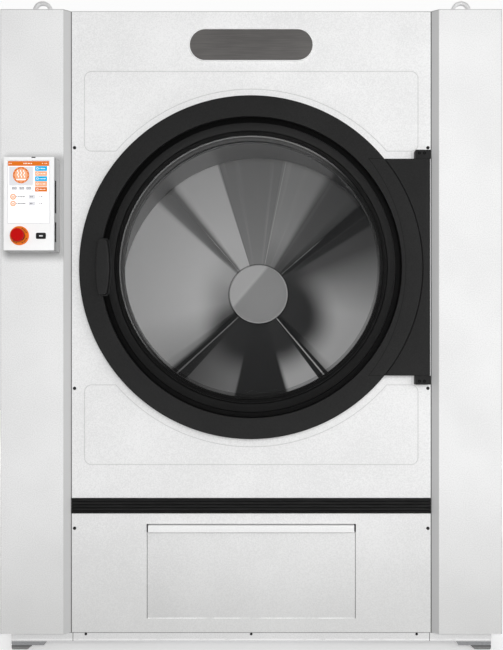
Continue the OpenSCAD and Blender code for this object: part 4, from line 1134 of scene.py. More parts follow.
def keep(node, material, edge):
    """Keeps a CAD node: its finish, smooth shading and a small round on its edges."""
    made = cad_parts[node]
    sharp = math.radians(30)
    made.data.materials.clear()
    made.data.materials.append(material)
    made.data.shade_smooth()
    made.data.set_sharp_from_angle(angle=sharp)
    if edge > 0:
        weld = made.modifiers.new("weld", "WELD")
        weld.merge_threshold = 0.000002
        soft = made.modifiers.new("soften", "BEVEL")
        soft.width = edge
        soft.segments = 2
        soft.limit_method = "ANGLE"
        soft.angle_limit = sharp
        soft.use_clamp_overlap = True
        even = made.modifiers.new("even", "WEIGHTED_NORMAL")
        even.keep_sharp = False
        even.weight = 100


# Pieces of the door


def at_drum(profile):
    """Profile corners of (radius in mm, y in mm, fillet in mm) in metres."""
    return [(r / 1000, y / 1000, f / 1000) for r, y, f in profile]


def drum_lathe(name, profile, closed=True):
    """Revolves a profile in millimetres about the drum's axis."""
    return lathe(name, at_drum(profile), (0, 0, DRUM_Z), closed)


def make_door_ring():
    """The flat outer ring of folded sheet, its edge rolled back."""
    front, back, radius = DOOR_FRONT * 1000, DOOR_BACK * 1000, DOOR_R * 1000
    opening, sheet = 463.4, 2.6
    ring = drum_lathe("ring", [
        (opening, front, 1.2), (radius, front, 3.2), (radius, back, 0.4),
        (radius - sheet, back, 0.4), (radius - sheet, front + 3.2, 1), (opening + sheet, front + 2.4, 0.6),
        (opening + sheet, back, 0.4), (opening, back, 0.4)])
    lug_half = 0.016
    lug = block("lug", (-0.505, -0.913, DRUM_Z - lug_half), (-0.485, DOOR_BACK, DRUM_Z + lug_half), 0.001)
    dress(joined("ring", [ring, lug]), "door.ring", door_paint(), "door", ["door_ring"])


def make_hinge_plate():
    """The flat wing between the ring and the pins: its left side follows the ring."""
    low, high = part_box("hinge_plate")
    reach = 0.5286
    half = (high[2] - low[2]) / 2
    turn = math.degrees(math.asin(half / reach))
    near = [(x, z + DRUM_Z) for x, z in circle_points(reach, (0, 0), 72, turn, -turn)]
    outline = near + [(PIN_X, low[2]), (PIN_X, high[2])]
    wing = plate("wing", [outline], DOOR_BACK, DOOR_FRONT, 0.0009)
    knuckle = lathe_z("knuckle", high[0] - PIN_X, low[2], high[2], (PIN_X, PIN_Y))
    dress(joined("wing", [wing, knuckle]), "door.hinge_plate", door_paint(), "door",
          ["hinge_plate"])


def lathe_z(name, radius, low, high, place, edge=0.0006):
    """A round bar along Z with softened ends."""
    profile = [(0, low), (radius - edge, low), (radius, low + edge), (radius, high - edge),
               (radius - edge, high), (0, high)]
    return lathe_upright(name, profile, place)


def lathe_upright(name, profile, place):
    """Revolves an open profile of (radius, z) about a vertical axis at (x, y)."""
    vertices = []
    steps = 48
    for i in range(steps):
        angle = math.tau * i / steps
        for radius, height in profile:
            across, deep = radius * math.cos(angle), radius * math.sin(angle)
            vertices.append((place[0] + across, place[1] + deep, height))
    made = mesh_object(name, vertices, skin(steps, len(profile), True, False))
    tidy_normals(made)
    return made


def make_inner_ring():
    """The stepped ring round the glass: a groove, a cone that falls inwards and a narrow lip."""
    back = -888
    ring = drum_lathe("ring", [
        (462.6, back, 0.3), (462.6, -903, 0.5), (446.6, -903, 1.2), (444.0, -913, 1.6), (421.6, -905.6, 0.4),
        (420.4, -903.2, 0.2), (417.6, -903.0, 0.3), (415.7, -904.4, 0.5), (415.7, -893, 0.2),
        (400.0, -893, 0.3), (400.0, back, 0.3)])
    dress(ring, "door.inner_ring", inner_ring_paint(), "door", ["door_inner_ring"])


def make_glass_seal():
    """The rubber ring that holds the glass, with two lips."""
    back, inner, outer = -893.1, 407.7, 415.5
    seal = drum_lathe("seal", [
        (inner, back, 0.2), (inner, -906.2, 1.2), (409.4, -907.6, 1.0), (411.0, -906.4, 0.6),
        (413.2, -907.8, 1.0), (outer, -905.8, 1.0), (outer, back, 0.2)])
    dress(seal, "door.glass_seal", seal_rubber(), "door", ["glass_seal"])


def make_glass():
    """The pane and its ground bevel, which shows a painted highlight at the upper left."""
    front, back_face, pane_r = -905.3, -893.4, 389.4
    pane = drum_lathe("pane", [(0, front, 0), (pane_r - 0.4, front, 0.3), (pane_r, front + 0.2, 0)], False)
    back = drum_lathe("back", [(0, back_face, 0), (406.8, back_face, 0)], False)
    glass = joined("glass", [pane, back])
    dress(glass, "door.glass", door_glass(), "door", ["door_glass"])
    bevel = drum_lathe("bevel", [(pane_r, front + 0.2, 0), (407.2, -900.3, 0.3), (407.4, -893.6, 0)], False)
    dress(bevel, "door.glass_bevel", lit_ground_bevel(), "door")


def make_handle():
    """The cast grip: its left edge follows the ring, its right edge bows back, its face is a shallow dome."""
    low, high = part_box("door_handle")
    grip_z = (low[2] + high[2]) / 2
    half = (high[2] - low[2]) / 2
    left_r, bow_x, bow_r, foot_rim = 0.472, -0.832, 0.402, 0.0035
    outline = lens_outline(left_r, (bow_x, bow_r), half, 0.006)
    body = plate("grip", [[(x, z + grip_z) for x, z in outline]], high[1], low[1], 0.0045, 6)
    dress(body, "door.handle", handle_paint(), "door", ["door_handle"])
    foot = lens_outline(left_r + foot_rim, (bow_x, bow_r + foot_rim), half + foot_rim, 0.008)
    gasket = plate("gasket", [[(x, z + grip_z) for x, z in foot]], high[1], high[1] - 0.0014, 0.0005)
    dress(gasket, "door.handle_gasket", rubber(), "door")


def lens_outline(left_r, bow, half_h, corner):
    """Points round the handle about the door's centre: an arc at the left, a bow at the right, round ends."""
    bow_x, bow_r = bow
    straight = half_h - corner
    steps = 24
    left_end = -math.sqrt(left_r ** 2 - half_h ** 2)
    right_end = bow_x + math.sqrt(bow_r ** 2 - half_h ** 2)
    points = []
    for z in [straight - straight * 2 * i / steps for i in range(steps + 1)]:
        points.append((-math.sqrt(left_r ** 2 - z * z), z))
    points += end_arc(left_end, right_end, -half_h, corner, -1)
    for z in [-straight + straight * 2 * i / steps for i in range(steps + 1)]:
        points.append((bow_x + math.sqrt(bow_r ** 2 - z * z), z))
    points += end_arc(left_end, right_end, half_h, corner, 1)
    return points


def end_arc(left, right, z, corner, side):
    """The flat end of the handle with its two round corners, from left to right below and back above."""
    inner = z - side * corner
    turns = [math.radians(turn) for turn in range(15, 91, 15)]
    points = []
    for middle, way, run in ((left + corner, -1, turns), (right - corner, 1, turns[::-1])):
        for turn in run:
            points.append((middle + way * corner * math.cos(turn), inner + side * corner * math.sin(turn)))
    return points if side < 0 else points[::-1]


def make_hinge():
    """The two cabinet brackets, their screws and the pins."""
    low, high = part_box("hinge_brackets")
    tall = high[2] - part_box("hinge_plate")[1][2] - 0.0003
    pieces = []
    for bottom in (low[2], high[2] - tall):
        outline = box_points((low[0], bottom), (high[0], bottom + tall), 0.0015)
        pieces.append(plate("bracket", [outline], high[1], low[1], 0.0009))
    dress(joined("brackets", pieces), "hinge.brackets", door_paint(), "cabinet",
          ["hinge_brackets"])
    keep("hinge_pins", machined_steel(), 0.0005)
    spread = high[2] - tall * 0.38 - DRUM_Z
    heads = [(low[0] + inset, DRUM_Z + side * spread) for side in (-1, 1) for inset in (0.0116, 0.0272)]
    screws = [screw_head("screw", x, z, low[1] + 0.0008, 0.0048, 0.0014, 0.002) for x, z in heads]
    dress(joined("screws", screws), "hinge.screw_heads", bracket_screw(), "cabinet")


def screw_head(name, x, z, seat, radius, rise, socket):
    """A domed head with a hexagonal socket, from its seat towards the front."""
    profile = [(socket, seat - 0.0004), (socket, seat - rise + 0.0003), (socket + 0.0003, seat - rise),
               (radius * 0.62, seat - rise * 0.96), (radius * 0.88, seat - rise * 0.62),
               (radius, seat - rise * 0.2), (radius, seat)]
    head = lathe(name, [(r, y, 0) for r, y in profile], (x, 0, z), False, steps=24)
    vertices = [(x + socket * 1.02 * math.cos(math.radians(60 * i)), seat - rise * 0.3,
                 z + socket * 1.02 * math.sin(math.radians(60 * i))) for i in range(6)]
    floor = mesh_object("floor", vertices, [tuple(range(6))])
    return joined(name, [head, floor])


# Pieces of the drum and its mouth


def make_throat():
    """The ring that leads into the drum, with the rubber seal that the door closes on."""
    front, flange_back, drum_end_y = -883, -880, -798
    ring = drum_lathe("throat", [
        (470, front, 0.2), (470, flange_back, 0.2), (421, flange_back, 1), (421, drum_end_y, 0.5),
        (418, drum_end_y, 0.5), (418, front + 1.5, 1.4), (419.6, front, 0.6)])
    dress(ring, "mouth.throat_ring", sheet_steel(), "cabinet", ["throat_ring"])
    foot = front - 0.1
    seal = drum_lathe("seal", [
        (424, foot, 0.2), (424, -886.4, 1.0), (428, -887.7, 1.2), (432, -886.0, 0.8),
        (436, -887.7, 1.2), (440, -886.0, 0.8), (444, -887.2, 1.2), (444, foot, 0.2)])
    dress(seal, "mouth.door_seal", rubber(), "cabinet", ["door_seal"])


# Where the drum's rear wall lies along the depth.
REAR_Y = 0.435


def make_shell():
    """The drum wall with its rolled front lip."""
    lip_r, lip_y, outer, inner, rear = 409, -798.4, 652.4, 650, REAR_Y * 1000
    shell = drum_lathe("shell", [
        (lip_r, -791, 0.6), (lip_r, lip_y, 2.4), (lip_r + 5, lip_y, 2.0), (lip_r + 8, lip_y + 5, 1.0),
        (640, lip_y + 5, 10), (outer, -780, 6), (outer, rear, 0.5), (inner, rear, 0.5), (inner, -778, 6),
        (640, -791, 8)])
    dress(shell, "drum.shell", drum_wall(), "drum", ["drum_shell"])


def make_drum_end():
    """The rear wall with four pressed ribs whose crests run from the hub to the rim."""
    rings, spokes = 44, 360
    inner, outer = HUB_R - 0.006, DRUM_R - 0.0006
    vertices = []
    for i in range(rings + 1):
        radius = inner + (outer - inner) * i / rings
        for j in range(spokes):
            angle = math.tau * j / spokes
            rise = rib_rise(radius, angle)
            vertices.append((radius * math.cos(angle), REAR_Y - rise, DRUM_Z + radius * math.sin(angle)))
    wall = mesh_object("wall", vertices, skin(rings + 1, spokes, False, True))
    tidy_normals(wall, 60)
    dress(wall, "drum.rear_wall", drum_end(), "drum", ["drum_back"])


def rib_rise(radius, angle):
    """Height of the pressed ribs over the rear wall: a sharp crest and flanks that widen outwards."""
    quarter = math.pi / 2
    first_crest = math.radians(41)
    off = (angle - first_crest + quarter / 2) % quarter - quarter / 2
    across = abs(off) * radius
    half = 0.012 + 0.046 * (radius - HUB_R) / (DRUM_R - HUB_R)
    if across >= half:
        return 0.0
    flank = 1 - across / half
    ends = min(1, (radius - HUB_R + 0.004) / 0.03, (DRUM_R - radius) / 0.02 + 0.2)
    return 0.033 * flank ** 1.35 * max(0, ends)


def make_hub():
    """The hub cap with a fine turned groove near its edge."""
    face, radius = 413.2, 139
    cap = drum_lathe("cap", [
        (0, face, 0), (126, face, 0.5), (127.4, face + 0.7, 0.4), (129, face, 0.4), (radius - 3, face, 2.4),
        (radius, face + 3.2, 2), (radius, REAR_Y * 1000 - 0.1, 0)], False)
    dress(cap, "drum.hub_cap", hub_face(), "drum", ["hub_cap"])


# Pieces of the cabinet's front


def make_strip():
    """The rubber bumper: five round ribs over a flat back, with trimmed ends."""
    low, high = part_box("bumper_strip")
    ribs, depth, steps = 5, 0.0042, 12
    pitch = (high[2] - low[2]) / ribs
    profile = [(PANEL_FRONT, low[2] + 0.0006)]
    for i in range(ribs):
        middle = low[2] + pitch * (i + 0.5)
        for step in range(steps + 1):
            t = math.pi * step / steps
            front = low[1] + depth - depth * math.sin(t) ** 0.8
            profile.append((front, middle - pitch * 0.46 * math.cos(t)))
    profile.append((PANEL_FRONT, high[2] - 0.0006))
    strip = drawn_along("strip", profile, 0, low[0] + 0.0004, high[0] - 0.0004)
    dress(strip, "front.bumper_strip", strip_rubber(), "cabinet", ["bumper_strip"])


def make_badge():
    """The bare plate: a sunk brushed face in a raised bright rim."""
    low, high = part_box("badge_plate")
    rim = 0.0024
    half = (high[2] - low[2]) / 2
    outer = box_points((low[0], low[2]), (high[0], high[2]), half, 32)
    inner = box_points((low[0] + rim, low[2] + rim), (high[0] - rim, high[2] - rim), half - rim, 32)
    frame_rim = plate("rim", [outer, inner[::-1]], high[1], low[1], 0.0014)
    dress(frame_rim, "badge.rim", polished_rim_sheen(), "cabinet", ["badge_plate"])
    face = plate("face", [inner], high[1], low[1] + 0.002, 0.0002)
    dress(face, "badge.face", badge_face(), "cabinet")


def make_eyes():
    """Forged lifting eyes on the roof, each with its collar."""
    low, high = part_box("lifting_eyes")
    ring_r, wire, collar = 0.0245, 0.007, 0.017
    reach = ring_r + wire
    steps = [(0.0001, 0.0137), (0.009, 0.0137), (0.0105, 0.0085), (0.0158, 0.007),
             (collar, 0.0058), (collar, 0.0003)]
    profile = [(radius, ROOF_Z + rise) for radius, rise in steps]
    rings, collars = [], []
    for x in (low[0] + reach, high[0] - reach):
        for y in (low[1] + collar, high[1] - collar):
            rings.append(torus("ring", (x, y, high[2] - reach), ring_r, wire))
            collars.append(lathe_upright("collar", profile, (x, y)))
    dress(joined("eyes", rings + collars), "roof.lifting_eyes", bright_zinc(), "cabinet",
          ["lifting_eyes"])


def torus(name, centre, radius, wire):
    """A ring of round wire that stands up, facing the front."""
    vertices = []
    around, across = 48, 20
    for i in range(around):
        a = math.tau * i / around
        for j in range(across):
            b = math.tau * j / across
            reach = radius + wire * math.cos(b)
            vertices.append((centre[0] + reach * math.cos(a), centre[1] + wire * math.sin(b),
                             centre[2] + reach * math.sin(a)))
    made = mesh_object(name, vertices, skin(around, across, True, True))
    tidy_normals(made)
    return made


def make_panel_screws():
    """Black pan-head screws: six on the front panels and three on the base."""
    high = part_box("panel_screws")[1]
    size = 0.0052
    side, top = high[0] - size, high[2] - size
    heights = (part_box("bumper_strip")[0][2] - 0.046, 2 * DRUM_Z - top, top)
    places = [(x, z, PANEL_FRONT, size) for x in (-side, side) for z in heights]
    places += [(x, SKIRT_Z - 0.006, PANEL_BACK, 0.0042) for x in (-0.514, 0, 0.514)]
    heads = [screw_head("head", x, z, seat, radius, 0.003, 0.0019) for x, z, seat, radius in places]
    dress(joined("heads", heads), "front.panel_screws", black_screw(), "cabinet",
          ["panel_screws"])


def make_drawer_front():
    """The lint drawer's front: a flat sheet whose top folds forward into a pull lip, and its seals."""
    low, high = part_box("drawer_front")
    lip_z = high[2] - 0.023
    lip_half = high[0] - 0.004
    crease = lip_z + 0.011
    sheet = block("sheet", (low[0], PANEL_FRONT, low[2]), (high[0], high[1], lip_z + 0.001), 0.0007)
    shade = block("shade", (-lip_half, PANEL_FRONT, lip_z), (lip_half, high[1], high[2] - 0.0004), 0.0003)
    fold = [
        (PANEL_FRONT + 0.0018, high[2] - 0.0006), (low[1] + 0.004, high[2]),
        (low[1] + 0.0012, high[2] - 0.0012), (low[1], high[2] - 0.004),
        (low[1], crease + 0.0005), (low[1] + 0.0006, crease), (low[1], crease - 0.0005),
        (low[1] + 0.0004, lip_z + 0.0022), (low[1] + 0.0022, lip_z), (PANEL_FRONT + 0.0018, lip_z)]
    lip = drawn_along("lip", fold, 0, -lip_half, lip_half)
    dress(joined("front", [sheet, shade, lip]), "drawer.front", drawer_paint(), "lint_drawer",
          ["drawer_front"])
    around = box_points((low[0] - 0.0011, low[2] - 0.0011), (high[0] + 0.0011, lip_z - 0.001), 0.0004)
    inside = box_points((low[0] + 0.004, low[2] + 0.004), (high[0] - 0.004, lip_z - 0.005), 0.0004)
    seal = plate("seal", [around, inside[::-1]], high[1] + 0.0016, high[1] + 0.0001, 0.0002)
    dress(seal, "drawer.edge_seal", seal_rubber(), "lint_drawer")
    # A pale strip that glows a little: a painted highlight along the drawer's bottom edge.
    sill = block("sill", (low[0] + 0.001, PANEL_FRONT - 0.0002, low[2] - 0.0012),
                 (high[0] - 0.001, PANEL_FRONT + 0.001, low[2] + 0.0002), 0.0003)
    dress(sill, "drawer.bottom_seal", glowing_pale_seal(), "lint_drawer")


def make_panels():
    """The painted sheets of the cabinet keep their CAD shapes; the side, roof and rear sheets get softened
    folds.
    """
    for node in ("side_panels", "roof_panel", "rear_panel"):
        keep(node, panel_paint(), 0.0006)
    for node in ("pillar_covers", "upper_front_panel", "lower_front_panel"):
        keep(node, panel_paint(), 0.0)


# Pieces of the control box


# Heights of the two vents in the side of the control box, over the foot of its face.
VENT_SPANS = ((0.027, 0.087), (0.114, 0.213))


def make_control_box():
    """A folded steel box with two louvred vents in its right side, and its separate face."""
    keep("control_box", panel_paint(), 0.0005)
    low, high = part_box("control_face")
    notch_left, notch_right, notch_z = low[0] + 0.084, low[0] + 0.096, high[2] - 0.003
    cut = 0.001
    outline = [
        (low[0] + cut, low[2]), (high[0] - cut, low[2]), (high[0], low[2] + cut),
        (high[0], high[2] - cut), (high[0] - cut, high[2]), (notch_right, high[2]),
        (notch_right, notch_z), (notch_left, notch_z), (notch_left, high[2]),
        (low[0] + cut, high[2]), (low[0], high[2] - cut), (low[0], low[2] + cut)]
    window_low, window_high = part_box("touch_screen")
    window = box_points((window_low[0] - 0.0004, window_low[2] - 0.0004),
                        (window_high[0] + 0.0004, window_high[2] + 0.0004), 0.002)
    stop = circle_points(0.0165, stop_centre(), 48)
    port_low, port_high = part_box("usb_port")
    rim = 0.002
    port = box_points((port_low[0] + rim, port_low[2] + rim), (port_high[0] - rim, port_high[2] - rim), 0.003)
    face = plate("face", [outline, window[::-1], stop[::-1], port[::-1]], high[1], low[1], 0.0007)
    dress(face, "controls.face", panel_paint(), "cabinet", ["control_face"])
    # Dark blocks in the vent slots stand for the shade inside the box.
    vents = []
    play = 0.0001
    for bottom, top in VENT_SPANS:
        vents.append(block("vent", (high[0] - 0.0014, low[1] + 0.0091, low[2] + bottom + play),
                           (high[0] - 0.0002, low[1] + 0.0249, low[2] + top - play), 0.0001))
    plug = block("plug", (notch_left + 0.0002, low[1] + play, notch_z + play),
                 (notch_right - 0.0002, high[1], high[2] - play), 0.0002)
    dress(plug, "controls.top_catch", black_plastic(), "cabinet")
    dress(joined("vents", vents), "controls.vent_shade_screens", vent_shade_mesh(), "cabinet")


def make_screen():
    """The touch screen: a grey border, a white ground and plain generic tiles."""
    low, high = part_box("touch_screen")
    outline = box_points((low[0], low[2]), (high[0], high[2]), 0.002)
    body = plate("screen", [outline], high[1], low[1], 0.0004)
    dress(body, "screen.border", screen_grey(), "cabinet", ["touch_screen"])
    inks = {}

    def patch(ink, left, top, right, bottom, corner=0.0, lift=0.00005):
        """A patch placed in millimetres from the screen's top left corner."""
        x0, x1 = low[0] + left / 1000, low[0] + right / 1000
        z0, z1 = high[2] - bottom / 1000, high[2] - top / 1000
        flat = box_points((x0, z0), (x1, z1), corner / 1000, 5)
        inks.setdefault(ink, []).append(flat_patch(flat, low[1] - lift))

    def disc(ink, x, down, radius, inner, lift):
        """A disc, or a ring where it has an inner radius, placed as a patch is."""
        centre = (low[0] + x / 1000, high[2] - down / 1000)
        outer = circle_points(radius / 1000, centre, 40)
        if inner > 0:
            made = flat_band(outer, circle_points(inner / 1000, centre, 40), low[1] - lift)
        else:
            made = flat_patch(outer, low[1] - lift)
        inks.setdefault(ink, []).append(made)

    def text_row(ink, left, top, right, bottom, strokes):
        """Unreadable strokes in place of a line of text."""
        pitch = (right - left) / strokes
        for index in range(strokes):
            start = left + pitch * index
            cut = random.uniform(0.1, 0.3) * (bottom - top)
            end = start + pitch * random.uniform(0.4, 0.85)
            patch(ink, start, top + cut, end, bottom - cut / 2, 0.3, 0.00015)

    patch("white", 1.4, 1.4, 125.1, 187.6, 1)
    patch("orange", 1.5, 1.5, 124.8, 15.9, 0.5, 0.0001)
    for left, right, strokes in ((4, 14, 3), (48, 74, 6), (104, 108, 1), (112, 121, 2)):
        text_row("white", left, 6.6, right, 10.2, strokes)
    patch("grey", 4.5, 18, 76.8, 73.5, 1.5, 0.0001)
    dial_x, dial_down = 40.7, 43.5
    disc("orange", dial_x, dial_down, 24.6, 0, 0.00015)
    disc("peach", dial_x, dial_down, 19.6, 0, 0.0002)
    for step in range(0, 360, 30):
        away = math.radians(step)
        disc("peach", dial_x + 21.8 * math.cos(away), dial_down + 21.8 * math.sin(away), 1.5, 0, 0.0002)
    for x in (31.5, 40.7, 49.9):
        for step in range(4):
            sway = 1.3 if step % 2 else -1.3
            patch("white", x + sway - 1.2, 28 + 5.6 * step, x + sway + 1.2, 34.4 + 5.6 * step, 1.1, 0.00025)
    patch("white", 26, 55, 55.4, 58.6, 1.2, 0.00025)
    patch("dark", 4.5, 74.4, 75.3, 90.9, 1, 0.0001)
    patch("white", 5.0, 74.9, 74.8, 90.4, 0.8, 0.00015)
    for left, marks in ((14.2, "00"), (36.6, "50"), (57.4, "00")):
        patch("grey", left - 2, 78.2, left + 14.5, 87.4, 0.8, 0.0002)
        for digit, mark in enumerate(marks):
            draw_digit(patch, mark, left + digit * 7, 79.5, 5.2, 6.6)
    rows = (("blue", 16.5, 30.9), ("peach", 32.1, 45.9), ("blue", 47.1, 61.5), ("peach", 62.1, 78),
            ("orange", 79.5, 93))
    for ink, top, bottom in rows:
        patch(ink, 82.8, top, 119, bottom, 1, 0.0001)
        middle_row = (top + bottom) / 2
        disc("white", 90, middle_row, 3.4, 2.3, 0.00015)
        text_row("white", 96.5, middle_row - 1.8, 115, middle_row + 1.6, 4)
    for top, wide in ((108.6, 9), (129, 8.4)):
        disc("peach", 16.6, top, wide, 0, 0.0001)
        disc("white", 16.6, top, wide * 0.55, wide * 0.38, 0.00015)
        patch("white", 15.8, top - wide * 0.62, 17.4, top, 0.3, 0.0002)
        text_row("dark", 26.6, top - 2.4, 55.7, top + 1.8, 6)
        patch("grey", 63.3, top - 6.2, 82.8, top + 6.2, 0.8, 0.0001)
        text_row("dark", 68, top - 2, 77.5, top + 1.8, 2)
        patch("grey", 90.4, top - 5, 117.5, top + 5, 0.8, 0.0001)
        patch("white", 91, top - 4.4, 116.9, top + 4.4, 0.6, 0.00012)
        text_row("dark", 96, top - 1.8, 106, top + 1.6, 2)
    makers = {"white": screen_white, "orange": screen_orange, "grey": screen_grey, "peach": screen_peach,
              "dark": screen_dark, "blue": screen_blue}
    for ink, pieces in inks.items():
        dress(joined("ink", pieces), "screen.tiles_" + ink, makers[ink](), "cabinet")


def draw_digit(patch, mark, left, top, wide, tall):
    """A seven-bar numeral of which only 0 and 5 are needed."""
    bar = 0.95
    bars = {
        "top": (left, top, left + wide, top + bar),
        "middle": (left, top + tall / 2 - bar / 2, left + wide, top + tall / 2 + bar / 2),
        "bottom": (left, top + tall - bar, left + wide, top + tall),
        "upper_left": (left, top, left + bar, top + tall / 2),
        "lower_left": (left, top + tall / 2, left + bar, top + tall),
        "upper_right": (left + wide - bar, top, left + wide, top + tall / 2),
        "lower_right": (left + wide - bar, top + tall / 2, left + wide, top + tall),
    }
    lit = {"0": ("top", "bottom", "upper_left", "lower_left", "upper_right", "lower_right"),
           "5": ("top", "middle", "bottom", "upper_left", "lower_right")}
    for name in lit[mark]:
        patch("dark", *bars[name], 0.0, 0.00025)


def flat_patch(outline, y):
    """One flat face with a thin rim behind it."""
    count = len(outline)
    front = [(x, y, z) for x, z in outline]
    back = [(x, y + 0.00004, z) for x, z in outline]
    return mesh_object("patch", front + back, [tuple(range(count))] + skin(2, count, False, True))


def flat_band(outer, inner, y):
    """A flat ring between two circles' points."""
    vertices = [(x, y, z) for x, z in outer + inner]
    return mesh_object("band", vertices, skin(2, len(outer), False, True))


def stop_centre():
    """Where the axis of the emergency stop meets the face, as (x, z)."""
    low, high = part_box("stop_base")
    return (low[0] + high[0]) / 2, (low[2] + high[2]) / 2


def make_stop():
    """The emergency stop: an orange disc with dark marks, a black neck and a dished red head."""
    x, z = stop_centre()
    centre = (x, 0, z)
    disc_profile = [(16.4, -965.1, 0), (28.7, -965.1, 0.2), (28.7, -968.0, 0.8), (16.4, -968.0, 0.3)]
    disc = lathe("disc", at_drum(disc_profile), centre, steps=96)
    dress(disc, "stop.disc", disc_plastic(), "cabinet", ["stop_base"])
    neck_profile = [
        (11.0, -951, 0), (11.0, -972, 0.4), (14.6, -972, 0.6), (16.0, -971.4, 0.6), (16.0, -951, 0)]
    neck = lathe("neck", at_drum(neck_profile), centre, steps=72)
    dress(neck, "stop.neck", black_plastic(), "cabinet")
    marks = []
    radius, marks_y = 0.0232, -0.96806
    for middle in (45, 135, 225, 315):
        for step in range(-2, 3):
            turn = middle + step * 11
            place = (x + radius * math.cos(math.radians(turn)), z + radius * math.sin(math.radians(turn)))
            size = 0.0015 if step % 2 else 0.0021
            marks.append(flat_patch(circle_points(size, place, 4, turn, turn + 270), marks_y))
    dress(joined("marks", marks), "stop.disc_marks", disc_ink(), "cabinet")
    head_profile = [
        (0, -991.0, 0), (9, -991.0, 4), (16.5, -991.3, 3), (19.2, -990.2, 2.0), (20, -986, 2),
        (19.6, -979.4, 1.2), (17.6, -978, 0.6), (11, -978, 0.3), (10, -972.2, 0)]
    head = lathe("head", at_drum(head_profile), centre, False, steps=96)
    dress(head, "stop.head", stop_plastic(), "stop", ["stop_button"])


def make_port():
    """The data port: a black bezel, a dark mouth and its pale contact tongue."""
    low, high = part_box("usb_port")
    seat = -0.9650

    def inset(x, z, corner, steps=6):
        """The port's outline with its sides moved in."""
        return box_points((low[0] + x, low[2] + z), (high[0] - x, high[2] - z), corner, steps)

    bezel = plate("bezel", [inset(0, 0, 0.004, 8), inset(0.0085, 0.0068, 0.0008)[::-1]], seat, low[1], 0.0006)
    dress(bezel, "port.bezel", black_plastic(), "cabinet", ["usb_port"])
    # The tongue takes the screen's grey, which glows a little though the tongue is no lamp: painted light.
    tongue = plate("tongue", [inset(0.0095, 0.0074, 0.0005)], seat, low[1] + 0.0006, 0.0002)
    dress(tongue, "port.tongue", screen_grey(), "cabinet")


# Pieces behind the panels, at the rear and under the cabinet


def make_base():
    """The base beams on their feet, with a gasket at each joint of the front beam."""
    keep("base_beams", base_paint(), 0.0015)
    keep("foot_plates", foot_steel(), 0.001)
    keep("foot_pads", pad_steel(), 0.0015)
    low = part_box("base_beams")[0]
    half = 0.0008
    seams = [block("seam", (x - half, low[1] - 0.0003, low[2] + 0.0005),
                   (x + half, low[1] + 0.002, SKIRT_Z - 0.0004), 0.0002) for x in (-0.554, 0.554)]
    dress(joined("seams", seams), "base.joint_gaskets", rubber(), "cabinet")


# Profile of a hood as (out from the cover, height over its slot), outer side first.
HOOD = (
    (-0.0002, 0.0125), (0.0045, 0.006), (0.0058, -0.003), (0.005, -0.003), (0.0038, 0.005), (-0.0002, 0.0112),
)


def make_rear():
    """The rear: its drive cover gets pressed hoods over the slots and a row of rivets."""
    keep("drive_cover", panel_paint(), 0.0006)
    low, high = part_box("drive_cover")
    hoods = []
    for column in (-0.26, 0.26):
        for row in range(10):
            z = low[2] + 0.080 + 0.034 * row
            profile = [(high[1] + out, z + up) for out, up in HOOD]
            hoods.append(drawn_along("hood", profile, 0, column - 0.088, column + 0.088))
    dress(joined("hoods", hoods), "rear.louvre_hoods", panel_paint(), "cabinet")
    rivets = []
    for x in (low[0] + 0.012, 0, high[0] - 0.012):
        for z in (low[2] + 0.014, (low[2] + high[2]) / 2, high[2] - 0.014):
            rivets.append(rear_rivet((x, z), high[1], 0.0052))
    panel_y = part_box("rear_panel")[1][1]
    for x in (-HALF_W + 0.018, HALF_W - 0.018):
        for step in range(7):
            rivets.append(rear_rivet((x, 0.120 + 0.300 * step), panel_y, 0.0046))
    dress(joined("rivets", rivets), "rear.rivets", machined_steel(), "cabinet")
    keep("cable_gland", black_plastic(), 0.0006)
    keep("exhaust_collar", zinc_sheet(), 0.0006)


# Rivet heads as (share of the radius, height over the sheet), and the points round one.
RIVET = ((0, 0.0024), (0.5, 0.0021), (0.85, 0.0011), (1, -0.0002))
RIVET_STEPS = 20


def rear_rivet(place, seat, radius):
    """A rivet head that stands out to the rear."""
    profile = [(radius * share, seat + rise, 0) for share, rise in RIVET]
    return lathe("rivet", profile, (place[0], 0, place[1]), False, steps=RIVET_STEPS)


def make_inside():
    """The drive, the frame, the bearings and the fan keep their CAD shapes."""
    steel = ("drum_shaft", "hinge_pins", "bearings", "motor_pulley", "lint_screen", "drawer_runners")
    zinc = ("cabinet_frame", "housing_ends", "drum_housing", "lint_housing", "motor_stand", "drawer_tray",
            "air_ducts", "heater_box", "fan_scroll")
    for node in steel:
        keep(node, machined_steel(), 0.0005)
    for node in zinc:
        keep(node, zinc_sheet(), 0.0007)
    keep("lifters", sheet_steel(), 0.004)
    keep("drum_pulley", cast_iron(), 0.0012)
    keep("bearing_housing", cast_iron(), 0.0015)
    keep("drive_motor", motor_paint(), 0.0012)
    keep("fan_motor", motor_paint(), 0.0012)
    keep("fan_wheel", sheet_steel(), 0.0005)
    keep("drive_belt", rubber(), 0.0006)
    keep("heater_coil", copper_fins(), 0.0)
    keep("air_filter", filter_mat(), 0.0006)
    keep("control_board", circuit_board(), 0.0003)


def make_roof_details():
    """Flange rivets along the heater box."""
    low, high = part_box("heater_box")
    rivets = []
    for side in (-1, 1):
        for step in range(8):
            y = low[1] + 0.06 + step * 0.092
            for z in (high[2] - 0.028, low[2] + 0.028):
                rivets.append(side_rivet((side * high[0], y, z), side, 0.0045))
    dress(joined("rivets", rivets), "roof.heater_rivets", machined_steel(), "cabinet")


